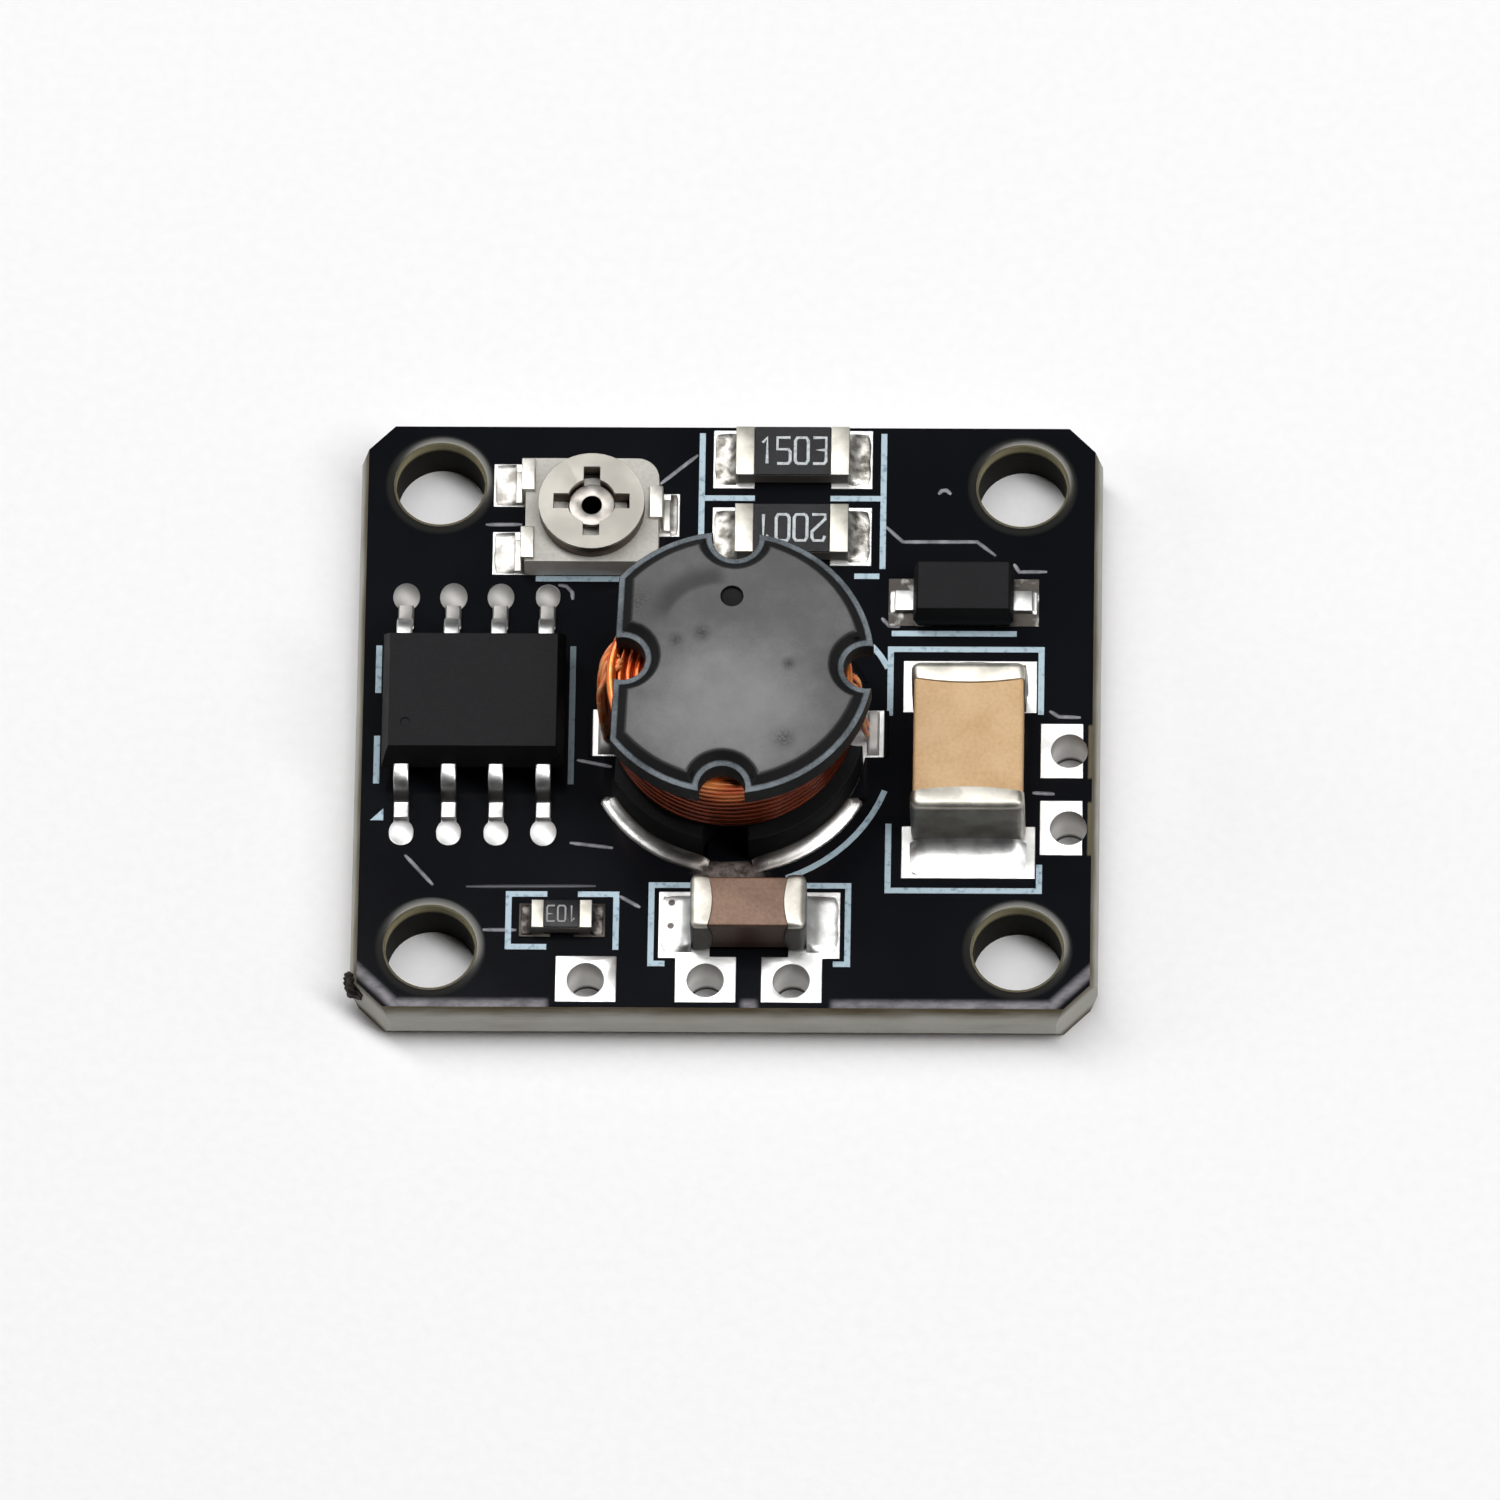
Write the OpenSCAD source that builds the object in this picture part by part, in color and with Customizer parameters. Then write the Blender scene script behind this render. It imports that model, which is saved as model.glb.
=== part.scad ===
/* [Board] */
// Thickness of the glass-fibre board
board_t = 1.6; // [1.4:0.1:2.4]
// Straight cut across each corner
corner_cut = 1.1; // [0.5:0.1:1.4]
// Depth of the score groove, on each face, that the board was snapped along
score_depth = 0.55; // [0.2:0.05:0.6]
// How far the snapped web stands out past the scored faces
score_run = 0.2; // [0.1:0.05:0.3]
// Diameter of the mounting holes
hole_d = 2.4; // [2:0.1:2.8]
// Mounting hole centre to the left or right edge
hole_inset_x = 2.15; // [1.8:0.05:2.4]
// Mounting hole centre to the far or near edge
hole_inset_y = 1.95; // [1.8:0.05:2.2]
// Thickness of the tinned pads
pad_t = 0.04; // [0.02:0.01:0.08]
// Thickness of the printed lines
silk_t = 0.02; // [0.01:0.005:0.03]
// Width of the printed lines
silk_w = 0.16; // [0.1:0.01:0.2]

/* [Wire pads] */
// Bore of the plated holes
wire_hole_d = 0.98; // [0.7:0.02:1.2]
// Pad beside a hole, along the board's edge
wire_pad_side = 0.325; // [0.2:0.005:0.4]
// Pad behind a hole, on the parts' side
wire_pad_back = 0.21; // [0.15:0.01:0.4]
// Pad in front of a hole, on the edge's side
wire_pad_front = 0.16; // [0.1:0.01:0.3]
// Pad behind an output hole
output_pad_back = 0.29; // [0.2:0.01:0.4]
// How far an output hole breaks out of its pad towards the edge
output_break = 0.12; // [0.1:0.01:0.2]
// Distance between two neighbouring supply holes
supply_pitch = 2.3; // [2.1:0.1:2.6]
// Signal hole to the first supply hole
signal_pitch = 3.2; // [2.6:0.1:3.4]
// Distance between the two output holes
output_pitch = 2.29; // [2.1:0.01:2.54]
// Near pads to the board's near edge
near_edge_gap = 0.34; // [0.3:0.01:0.6]
// Output pads to the board's right edge
right_edge_gap = 0.44; // [0.4:0.01:0.7]

/* [Control chip] */
// Length of the moulded body
chip_w = 4.9; // [4.6:0.1:5.4]
// Width of the moulded body
chip_d = 3.95; // [3.6:0.05:4.2]
// Height of the moulded body
chip_h = 1.42; // [1.3:0.02:1.6]
// Gap under the body
chip_lift = 0.13; // [0.08:0.01:0.25]
// Draft of the long sides, from the parting line to the top
chip_draft_d = 0.3; // [0.1:0.02:0.4]
// Draft of the short sides, from the parting line to the top
chip_draft_w = 0.2; // [0.1:0.02:0.3]
// Distance between neighbouring leads
lead_pitch = 1.27; // [1:0.01:1.27]
// Width of a lead
lead_w = 0.42; // [0.3:0.01:0.5]
// Thickness of a lead
lead_t = 0.2; // [0.15:0.01:0.25]
// Leads on each side
leads_side = 4; // [2:1:4]
// Reach of a lead from the body's side to its tip
lead_reach = 1.175; // [1.1:0.025:1.4]
// Length of a lead's foot
lead_foot = 0.45; // [0.35:0.05:0.6]
// Length of a lead's level shoulder outside the body
lead_shoulder = 0.3; // [0.2:0.05:0.4]
// Pad beside a lead
chip_pad_side = 0.12; // [0.05:0.01:0.15]
// Pad beyond the tip of a lead
chip_pad_reach = 0.75; // [0.5:0.05:0.9]
// Height of the bead of solder at the tip of a lead
bead_h = 0.3; // [0.2:0.02:0.4]
// Board's left edge to the body
chip_edge_gap = 0.76; // [0.7:0.02:1.2]

/* [Inductor] */
// Radius of the top flange
coil_r = 3.9; // [3.6:0.05:4.1]
// Middle of the core to the flat on its left side
coil_flat = 3.05; // [2.9:0.05:3.3]
// Height of the core
coil_h = 5; // [4.4:0.1:5.6]
// Radius of the bottom flange
foot_r = 3.6; // [3.5:0.05:3.8]
// Thickness of the top flange
top_flange_t = 0.9; // [0.7:0.05:1.2]
// Thickness of the bottom flange
foot_flange_t = 1.2; // [0.9:0.05:1.4]
// Radius of the post that the wire is wound on
post_r = 1.7; // [1.4:0.1:2.1]
// Radius of the four notches in the flanges
notch_r = 0.62; // [0.5:0.02:0.7]
// Flat land round the rim of the top
land_w = 0.15; // [0.1:0.01:0.2]
// Width of the bevel inside the land
rim_bevel = 0.3; // [0.2:0.02:0.35]
// Height of the bevel above the land
rim_rise = 0.25; // [0.15:0.01:0.35]
// Diameter of the marking dimple
dimple_d = 0.58; // [0.4:0.02:0.7]
// Depth of the marking dimple
dimple_depth = 0.12; // [0.05:0.01:0.2]
// Marking dimple from the middle of the core
dimple_y = 1.85; // [1:0.05:2.2]
// Diameter of the copper wire
wire_d = 0.26; // [0.2:0.01:0.3]
// Outer radius of the winding
winding_r = 3.3; // [3:0.05:3.4]
// How far the left wire ends bow out on their way down
wire_end_bulge = 0.04; // [0:0.02:0.4]
// Turn of the core on its pads, clockwise
coil_turn = 2; // [0:0.5:4]
// Half-moon pads beyond the bottom flange
coil_pad_reach = 0.4; // [0.3:0.02:0.6]
// Gap between the two half-moon pads
coil_pad_gap = 1.2; // [0.8:0.1:2]
// Height of the solder on the half-moon pads
coil_solder_h = 0.2; // [0.15:0.05:0.5]
// Control chip to the half-moon pads
chip_coil_gap = 0.49; // [0.4:0.01:0.9]

/* [Trimmer] */
// Base beyond the rotor on the left and the right
trim_side = 0.36; // [0.3:0.01:0.5]
// Base beyond the rotor on the far and the near side
trim_end = 0.115; // [0.05:0.005:0.3]
// Height of the ceramic base
trim_base_h = 0.85; // [0.7:0.05:1]
// Rounding of the base's far right corner
trim_corner = 0.6; // [0.2:0.05:0.8]
// Diameter of the rotor
rotor_d = 2.86; // [2.5:0.02:3.2]
// Thickness of the rotor
rotor_t = 0.48; // [0.4:0.02:0.6]
// Thickness of the rotor's floor under the eyelet's head
rotor_floor = 0.08; // [0.06:0.01:0.12]
// Width of the rotor's cross slots
slot_w = 0.44; // [0.3:0.02:0.5]
// Length across the cross slots
slot_span = 2.05; // [1.6:0.05:2.2]
// Diameter of the eyelet's head
eyelet_head_d = 1.24; // [1.1:0.01:1.4]
// Bore of the eyelet
eyelet_bore_d = 0.52; // [0.4:0.02:0.6]
// Thickness of the eyelet's head
eyelet_head_t = 0.1; // [0.08:0.01:0.2]
// Running clearance round the rotor
rotor_gap = 0.04; // [0.02:0.01:0.08]
// Width of a terminal
trim_term_w = 0.95; // [0.7:0.05:1.1]
// Thickness of the terminal strip
trim_term_t = 0.12; // [0.08:0.01:0.18]
// Distance between the two end terminals
trim_term_pitch = 2.04; // [1.9:0.02:2.1]
// Pad beside a terminal
trim_pad_side = 0.17; // [0.05:0.01:0.25]
// Pads out of line with the terminals, towards the far side
trim_pad_drift = 0.12; // [0:0.01:0.15]
// Reach of a terminal's foot past the base
trim_foot = 0.3; // [0.25:0.05:0.4]
// Pad beyond the end terminals' feet
end_pad_reach = 0.6; // [0.3:0.05:0.7]
// Pad beyond the middle terminal's foot
wiper_pad_reach = 0.25; // [0.15:0.05:0.4]
// Thickness of the printed resistance track
track_t = 0.03; // [0.02:0.01:0.05]
// Middle terminal beyond the middle of the base
wiper_shift = 0.2; // [0:0.05:0.4]
// Mounting hole to the trimmer's pads
trim_hole_gap = 0.24; // [0.2:0.02:0.6]
// Control chip's pads to the trimmer's base
trim_chip_gap = 0.28; // [0.25:0.01:0.6]

/* [Output capacitor] */
// Length between the end faces
out_cap_l = 4.38; // [4:0.02:4.8]
// Width
out_cap_w = 3.03; // [2.8:0.01:3.3]
// Height
out_cap_h = 2.2; // [1.6:0.1:2.6]
// Length of an end band
out_cap_band = 0.65; // [0.4:0.05:0.8]
// Pad beside each end
out_pad_side = 0.28; // [0.1:0.02:0.4]
// Length of pad past each end face
out_pad_reach = 1.05; // [0.8:0.05:1.2]
// Half-moon pads to the capacitor's pads
coil_cap_gap = 0.56; // [0.3:0.02:0.8]
// Capacitor's pads to the output wire pads
cap_wire_gap = 0.11; // [0.1:0.01:0.4]
// Capacitor's middle below the middle of the board
out_cap_drop = 1.58; // [1.4:0.02:1.8]
// Output wire pads below the middle of the capacitor
output_pad_drop = 0.58; // [0.3:0.02:1]

/* [Input capacitor] */
// Length between the end faces
in_cap_l = 3.1; // [2.9:0.05:3.4]
// Width
in_cap_w = 1.58; // [1.4:0.02:1.8]
// Height
in_cap_h = 1.5; // [1:0.1:1.8]
// Length of an end band
in_cap_band = 0.6; // [0.4:0.05:0.7]
// Pad beside each end
in_pad_side = 0.17; // [0.1:0.01:0.3]
// Length of pad past each end face
in_pad_reach = 0.88; // [0.7:0.02:1]
// Half-moon pads to the capacitor's pads
coil_in_gap = 0.52; // [0.4:0.02:0.8]
// Capacitor's middle to the right of the coil
in_cap_shift = 0.53; // [0.3:0.01:0.7]

/* [Resistors] */
// Length of the two large resistors
res_l = 3.06; // [2.9:0.02:3.2]
// Width of the two large resistors
res_w = 1.45; // [1.3:0.05:1.6]
// Height of the two large resistors
res_h = 0.55; // [0.45:0.05:0.65]
// Length of their end bands
res_band = 0.5; // [0.35:0.05:0.6]
// Pad beside each of their ends
res_pad_side = 0.15; // [0.1:0.01:0.25]
// Length of pad past each end face
res_pad_reach = 0.62; // [0.4:0.02:0.7]
// Far board edge to the upper resistor's pads
far_edge_gap = 0.3; // [0.25:0.05:0.6]
// Gap between the two resistors' pads
res_gap = 0.56; // [0.4:0.02:0.8]
// Lower resistor's pads to the half-moon pads
res_coil_gap = 1.21; // [0.9:0.01:1.5]
// Resistors' middle to the right of the coil
res_shift = 1.5; // [1.2:0.05:1.6]
// Length of the small resistor
small_res_l = 1.62; // [1.5:0.02:1.7]
// Width of the small resistor
small_res_w = 0.82; // [0.7:0.02:0.9]
// Height of the small resistor
small_res_h = 0.42; // [0.35:0.01:0.5]
// Length of its end bands
small_res_band = 0.33; // [0.2:0.01:0.4]
// Pad beside each of its ends
small_pad_side = 0.09; // [0.05:0.01:0.15]
// Length of pad past each end face
small_pad_reach = 0.35; // [0.3:0.01:0.5]
// Small resistor's middle beyond the input capacitor's
small_res_lift = 0.1; // [0:0.02:0.2]
// Small resistor's pads to the input capacitor's pads
small_res_gap = 1.42; // [1:0.02:1.7]
// Thickness of a resistor's dark glass coat
coat_t = 0.05; // [0.03:0.01:0.08]
// Thickness of the plated end bands
plate_t = 0.05; // [0.03:0.01:0.08]
// Depth of the curve in a capacitor band's inner edge
band_curve = 0.14; // [0.05:0.01:0.2]

/* [Diode] */
// Length of the moulded body
diode_l = 2.7; // [2.5:0.05:2.9]
// Width of the moulded body
diode_w = 1.65; // [1.5:0.05:1.8]
// Height of the moulded body
diode_h = 1.08; // [0.95:0.01:1.2]
// Draft of the body's sides
diode_draft = 0.11; // [0.05:0.01:0.15]
// Width of a lead
diode_lead_w = 0.62; // [0.5:0.02:0.8]
// Thickness of a lead
diode_lead_t = 0.14; // [0.1:0.01:0.18]
// Reach of a lead past the body
diode_reach = 0.5; // [0.4:0.02:0.6]
// Pad beyond the tip of a lead
diode_pad_reach = 0.18; // [0.15:0.01:0.4]
// Pad beside a lead
diode_pad_side = 0.405; // [0.2:0.005:0.5]
// Output capacitor's pads to the diode's pads
diode_gap = 1.03; // [0.8:0.01:1.3]
// Diode's middle to the left of the output capacitor's
diode_shift = 0.2; // [0:0.01:0.3]

/* [Hidden] */
$fn = 64;

// Overlap past a face, so that a cut is clean
over = 0.5;
// Gap left between two pieces that fit closely
fit = 0.005;
// Height that every part stands at
seat_z = board_t + pad_t;
// Solder stops this far inside its pad
solder_back = 0.05;
// Share of an end face's height that solder climbs
solder_climb = 0.7;
// Thickness of solder at its outer edge
solder_edge = 0.02;
// Length of a lead inside its moulded body
lead_root = 0.3;
// Pad length under a part, in from its end face
pad_under = 0.5;
// Lap between two pads that run into each other
pad_lap = 0.05;

// Pads, from what stands on them
wire_pad_w = wire_hole_d + 2 * wire_pad_side;
wire_pad_d = wire_hole_d + wire_pad_back + wire_pad_front;
output_pad_d = wire_hole_d + output_pad_back - output_break;
lead_span = chip_d + 2 * lead_reach;
chip_pad_w = lead_w + 2 * chip_pad_side;
chip_pad_span = lead_span + 2 * chip_pad_reach;
coil_pad_r = foot_r + coil_pad_reach;
trim_w = rotor_d + 2 * trim_side;
trim_d = rotor_d + 2 * trim_end;
trim_pad_w = trim_term_w + 2 * trim_pad_side;
out_pad_w = out_cap_w + 2 * out_pad_side;
in_pad_w = in_cap_w + 2 * in_pad_side;
res_pad_w = res_w + 2 * res_pad_side;
small_pad_w = small_res_w + 2 * small_pad_side;
diode_span = diode_l + 2 * diode_reach;
diode_pad_w = diode_lead_w + 2 * diode_pad_side;

// The board is as wide as its row of parts, from left to right
board_w = chip_edge_gap + chip_w + chip_coil_gap + 2 * coil_pad_r + coil_cap_gap + out_pad_w
        + cap_wire_gap + output_pad_d + right_edge_gap;
// and as deep as its column of parts, from far to near
board_d = far_edge_gap + 2 * res_pad_w + res_gap + res_coil_gap + 2 * coil_pad_r + coil_in_gap
        + in_pad_w + wire_pad_d + near_edge_gap;
left_edge = -board_w / 2;
far_edge = board_d / 2;
hole_x = board_w / 2 - hole_inset_x;
hole_y = board_d / 2 - hole_inset_y;

// Places of the parts on the board
chip_x = left_edge + chip_edge_gap + chip_w / 2;
coil_x = chip_x + chip_w / 2 + chip_coil_gap + coil_pad_r;
upper_y = far_edge - far_edge_gap - res_pad_w / 2;
lower_y = upper_y - res_pad_w - res_gap;
coil_y = lower_y - res_pad_w / 2 - res_coil_gap - coil_pad_r;
res_x = coil_x + res_shift;
in_cap_x = coil_x + in_cap_shift;
in_cap_y = coil_y - coil_pad_r - coil_in_gap - in_pad_w / 2;
out_cap_x = coil_x + coil_pad_r + coil_cap_gap + out_pad_w / 2;
out_cap_y = -out_cap_drop;
diode_x = out_cap_x - diode_shift;
diode_y = out_cap_y + out_cap_l / 2 + out_pad_reach + diode_gap + diode_pad_w / 2;
small_res_x = in_cap_x - in_cap_l / 2 - in_pad_reach - small_res_gap - small_pad_reach - small_res_l / 2;
small_res_y = in_cap_y + small_res_lift;
trim_x = -hole_x + hole_d / 2 + trim_hole_gap + end_pad_reach + trim_foot + trim_w / 2;
trim_y = chip_pad_span / 2 + trim_chip_gap + trim_d / 2;
wire_pad_far = in_cap_y - in_pad_w / 2;
wire_pad_y = wire_pad_far - wire_pad_d / 2;
wire_hole_y = wire_pad_far - wire_pad_back - wire_hole_d / 2;
left_supply_x = in_cap_x - supply_pitch / 2;
right_supply_x = in_cap_x + supply_pitch / 2;
signal_x = left_supply_x - signal_pitch;
output_pad_left = out_cap_x + out_pad_w / 2 + cap_wire_gap;
output_pad_x = output_pad_left + output_pad_d / 2;
output_hole_x = output_pad_left + output_pad_back + wire_hole_d / 2;
far_output_y = out_cap_y - output_pad_drop + output_pitch / 2;
near_output_y = far_output_y - output_pitch;

// Every wire pad: its middle, its size and its hole
signal_spot = [signal_x, wire_pad_y, wire_pad_w, wire_pad_d, signal_x, wire_hole_y];
left_supply_spot = [left_supply_x, wire_pad_y, wire_pad_w, wire_pad_d, left_supply_x, wire_hole_y];
right_supply_spot = [right_supply_x, wire_pad_y, wire_pad_w, wire_pad_d, right_supply_x, wire_hole_y];
far_output_spot = [output_pad_x, far_output_y, output_pad_d, wire_pad_w, output_hole_x, far_output_y];
near_output_spot = [output_pad_x, near_output_y, output_pad_d, wire_pad_w, output_hole_x, near_output_y];
wire_spots = [signal_spot, left_supply_spot, right_supply_spot, far_output_spot, near_output_spot];

// Chip lead, from its root inside the body to the tip of its foot
chip_top = seat_z + chip_lift + chip_h;
lead_level = chip_lift + chip_h / 2;
lead_bend = chip_d / 2 + lead_shoulder;
lead_heel = lead_span / 2 - lead_foot;
heel_pad = 0.15;
chip_pad_l = chip_pad_span / 2 - lead_heel + heel_pad;
// Moulded dot that marks the first lead
bead_x = chip_pad_span / 2 - chip_pad_w / 2;
pin_dot_side = 0.65;
pin_dot_end = 1;
pin_dot_d = 0.26;
pin_dot_depth = 0.04;

// Core of the inductor
land_z = coil_h - rim_rise;
top_under_z = coil_h - top_flange_t;
notch_in = 0.2;
winding_gap = 0.06;
turns = floor((top_under_z - foot_flange_t - 2 * winding_gap) / wire_d);
winding_base = (top_under_z + foot_flange_t - turns * wire_d) / 2;
// The half-moons show only nearer and farther than this from the middle of the coil
crescent_from = 1.72;
// Bright tabs that the wire ends are soldered to
tab_l = 1.4;
tab_h = 0.3;
tab_lift = 0.19;
left_tab_w = 0.58;
right_tab_w = 0.34;
// Wire ends: where they leave the winding, and their rings and sides
wire_end_gap = 0.02;
wire_end_x = winding_r + wire_d / 2 + wire_end_gap;
wire_end_z = winding_base + (turns - 0.5) * wire_d;
wire_end_drift = 0.35;
wire_end_rings = 12;
wire_end_sides = 10;

// Levels of the trimmer
track_z = trim_base_h;
rotor_z = track_z + track_t + rotor_gap;
head_z = rotor_z + rotor_floor + rotor_gap;
rotor_well_d = eyelet_head_d + 2 * rotor_gap;
eyelet_wall = 0.17;
eyelet_shank_d = eyelet_bore_d + 2 * eyelet_wall;
track_w = 0.45;
track_back = 0.03;
track_out_r = rotor_d / 2 - track_back;
track_in_r = track_out_r - track_w;
track_half_turn = 125;
wiper_d = 0.3;
// Terminal strips stop this far short of the rotor's edge
tab_clear = 0.11;

// Radius of the arc over a chord with a given rise
function arc_r(chord, rise) = (chord * chord / 4 + rise * rise) / (2 * rise);

// Side view of a moulded body that is parted at half height
function drafted(w, h, draft) =
  [[draft - w / 2, 0], [w / 2 - draft, 0], [w / 2, h / 2], [w / 2 - draft, h], [draft - w / 2, h],
   [-w / 2, h / 2]];

// Hollow slope of solder, from the top of the wetted face out along the pad
function solder_slope(run, rise) =
  concat([[0, 0], [run, 0]],
         [for (a = [0:15:90]) [run * (1 - sin(a)), solder_edge + (rise - solder_edge) * (1 - cos(a))]]);

// Moves a piece to its place on the board
module at(x, y, z = seat_z) translate([x, y, z]) children();

// A block that stands on its place
module block(w, d, h) translate([-w / 2, -d / 2, 0]) cube([w, d, h]);

// A moulded body with drafted sides
module moulded(w, d, h, draft_w, draft_d)
  intersection() {
    rotate([90, 0, 0])
      linear_extrude(d + over, center = true)
        polygon(drafted(w, h, draft_w));
    rotate([90, 0, 90])
      linear_extrude(w + over, center = true)
        polygon(drafted(d, h, draft_d));
  }

// A ridge of solder against both end faces of a part that lies along X
module end_solder(l, w, h, reach)
  for (turn = [0, 180])
    rotate(turn)
      translate([l / 2, 0, 0])
        rotate([90, 0, 0])
          linear_extrude(w, center = true)
            polygon(solder_slope(reach - solder_back, h * solder_climb));

// The two pads under a part that lies along X
module end_pads(l, w, reach)
  for (side = [-1, 1])
    translate([side * (l / 2 + (reach - pad_under) / 2), 0, -pad_t])
      block(reach + pad_under, w, pad_t);

// Wedge that one score groove takes off the edge at a reach along +X
module groove(reach)
  rotate([90, 0, 0])
    linear_extrude(board_w + board_d, center = true)
      polygon([[reach - score_run, 0], [reach - score_run, over], [reach + over, over],
               [reach + over, -score_depth], [reach, -score_depth]]);

module score_grooves()
  for (face = [0, 1])
    translate([0, 0, face * board_t])
      mirror([0, 0, 1 - face])
        for (turn = [0:90:270])
          rotate(turn)
            groove(turn % 180 == 0 ? board_w / 2 : board_d / 2);

module board_outline() {
  x = board_w / 2;
  y = board_d / 2;
  c = corner_cut;
  polygon([[x - c, -y], [x, c - y], [x, y - c], [x - c, y],
           [c - x, y], [-x, y - c], [-x, c - y], [c - x, -y]]);
}

module circuit_board()
  color([0.07, 0.075, 0.09])
    difference() {
      linear_extrude(board_t) board_outline();
      score_grooves();
      for (x = [-hole_x, hole_x], y = [-hole_y, hole_y])
        at(x, y, -over) cylinder(d = hole_d, h = board_t + 2 * over);
      for (s = wire_spots) {
        at(s[4], s[5], -over) cylinder(d = wire_hole_d, h = board_t + 2 * over);
        at(s[0], s[1], -over) block(s[2] + 2 * fit, s[3] + 2 * fit, over + pad_t);
      }
    }

// A tinned pad on both faces round a wire hole; children widen the top pad
module wire_pad(s)
  color([0.82, 0.82, 0.8])
    difference() {
      union() {
        at(s[0], s[1], board_t) block(s[2], s[3], pad_t);
        at(s[0], s[1], 0) block(s[2], s[3], pad_t);
        children();
      }
      at(s[4], s[5], -over) cylinder(d = wire_hole_d, h = seat_z + 2 * over);
    }

// The input capacitor's pad on one side, which runs on into a supply pad
module in_cap_pad(side)
  at(in_cap_x + side * (in_cap_l / 2 + (in_pad_reach - pad_under) / 2), in_cap_y - pad_lap / 2, board_t)
    block(in_pad_reach + pad_under, in_pad_w + pad_lap, pad_t);

module signal_wire_pad() wire_pad(signal_spot);
module left_supply_pad() wire_pad(left_supply_spot) in_cap_pad(-1);
module right_supply_pad() wire_pad(right_supply_spot) in_cap_pad(1);
module far_output_pad() wire_pad(far_output_spot);
module near_output_pad() wire_pad(near_output_spot);

// Places every chip lead: children point out along +X from the chip's middle line
module each_lead()
  for (turn = [-90, 90], i = [0:leads_side - 1])
    at(chip_x + (i - (leads_side - 1) / 2) * lead_pitch, 0)
      rotate(turn)
        children();

// The half-moon pads under the inductor, with the tabs for its wire ends
module coil_pads()
  at(coil_x, coil_y, board_t)
    difference() {
      union() {
        difference() {
          cylinder(r = coil_pad_r, h = pad_t);
          translate([0, 0, -over]) block(2 * coil_pad_r + over, 2 * crescent_from, pad_t + 2 * over);
        }
        intersection() {
          cylinder(r = foot_r - fit, h = pad_t);
          translate([coil_pad_r - coil_flat + over, 0, 0]) block(2 * coil_pad_r, 2 * coil_pad_r, pad_t);
        }
        coil_tabs() block($tab_w + over, tab_l, pad_t);
      }
      translate([0, 0, -over]) block(coil_pad_gap, 2 * coil_pad_r + over, pad_t + 2 * over);
    }

// Places the left and the right wire tab: children stand on the tab's inner edge side
module coil_tabs() {
  translate([-coil_flat - left_tab_w / 2, tab_lift, 0])
    let ($tab_w = left_tab_w) children();
  translate([foot_r + right_tab_w / 2, tab_lift, 0])
    let ($tab_w = right_tab_w) children();
}

// Tinned pad of a chip lead: a neck under its foot and a disc under its bead of solder
module chip_pad() {
  neck_l = chip_pad_l - chip_pad_w / 2;
  translate([bead_x - neck_l / 2, 0, -pad_t]) block(neck_l, lead_w, pad_t);
  translate([bead_x, 0, -pad_t]) cylinder(d = chip_pad_w, h = pad_t);
}

module component_pads()
  color([0.82, 0.82, 0.8]) {
    each_lead() chip_pad();
    coil_pads();
    at(res_x, upper_y) end_pads(res_l, res_pad_w, res_pad_reach);
    at(res_x, lower_y) end_pads(res_l, res_pad_w, res_pad_reach);
    at(small_res_x, small_res_y) end_pads(small_res_l, small_pad_w, small_pad_reach);
    at(out_cap_x, out_cap_y) rotate(90) end_pads(out_cap_l, out_pad_w, out_pad_reach);
    at(diode_x, diode_y) end_pads(diode_l, diode_pad_w, diode_reach + diode_pad_reach);
    each_trim_terminal()
      translate([trim_w / 2 + (trim_foot + $reach - pad_under) / 2, $drift, -pad_t])
        block(trim_foot + $reach + pad_under, trim_pad_w, pad_t);
  }

// A printed line between two points
module stroke(x1, y1, x2, y2) {
  run = norm([x2 - x1, y2 - y1]);
  translate([(x1 + x2) / 2, (y1 + y2) / 2, board_t])
    rotate(atan2(y2 - y1, x2 - x1))
      block(run + silk_w, silk_w, silk_t);
}

// Printed frame round the two large resistors
module resistor_frame() {
  gap = 0.3;
  x = res_l / 2 + res_pad_reach + gap;
  top = upper_y + res_pad_w / 2;
  low = lower_y - res_pad_w / 2;
  mid = (upper_y + lower_y) / 2;
  dash = 1.35;
  for (side = [-1, 1]) {
    stroke(res_x + side * x, low, res_x + side * x, top - silk_w);
    stroke(res_x + side * x, mid, res_x + side * (x - dash), mid);
  }
  stroke(res_x + x - dash / 2, low - gap, res_x + x - silk_w, low - gap);
}

// Printed frame round the output capacitor, open at its wire pads and at the coil
module output_frame() {
  gap = 0.35;
  left = out_cap_x - out_pad_w / 2 - gap;
  right = output_pad_left;
  far = out_cap_y + out_cap_l / 2 + out_pad_reach + gap;
  near = out_cap_y - out_cap_l / 2 - out_pad_reach - gap;
  leg = 1.9;
  stroke(left, far, right, far);
  stroke(left, near, right, near);
  stroke(left, far, left, far - leg);
  stroke(left, near, left, near + leg);
  stroke(right, far, right, far_output_y + wire_pad_w / 2 + gap);
  stroke(right, near, right, near_output_y - wire_pad_w / 2 - gap);
}

// Printed corner brackets round a part, drawn on one side of it
module bracket(x, far, near, top_dash, low_dash) {
  stroke(x, far, x, near);
  stroke(x, far, x + top_dash, far);
  if (low_dash != 0) stroke(x, near, x + low_dash, near);
}

module small_resistor_frame() {
  gap = 0.28;
  x = small_res_l / 2 + small_pad_reach + gap;
  y = small_pad_w / 2 + gap;
  dash = 0.95;
  bracket(small_res_x - x, small_res_y + y, small_res_y - y, dash, dash);
  bracket(small_res_x + x, small_res_y + y, small_res_y - y, -dash, 0);
}

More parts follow.
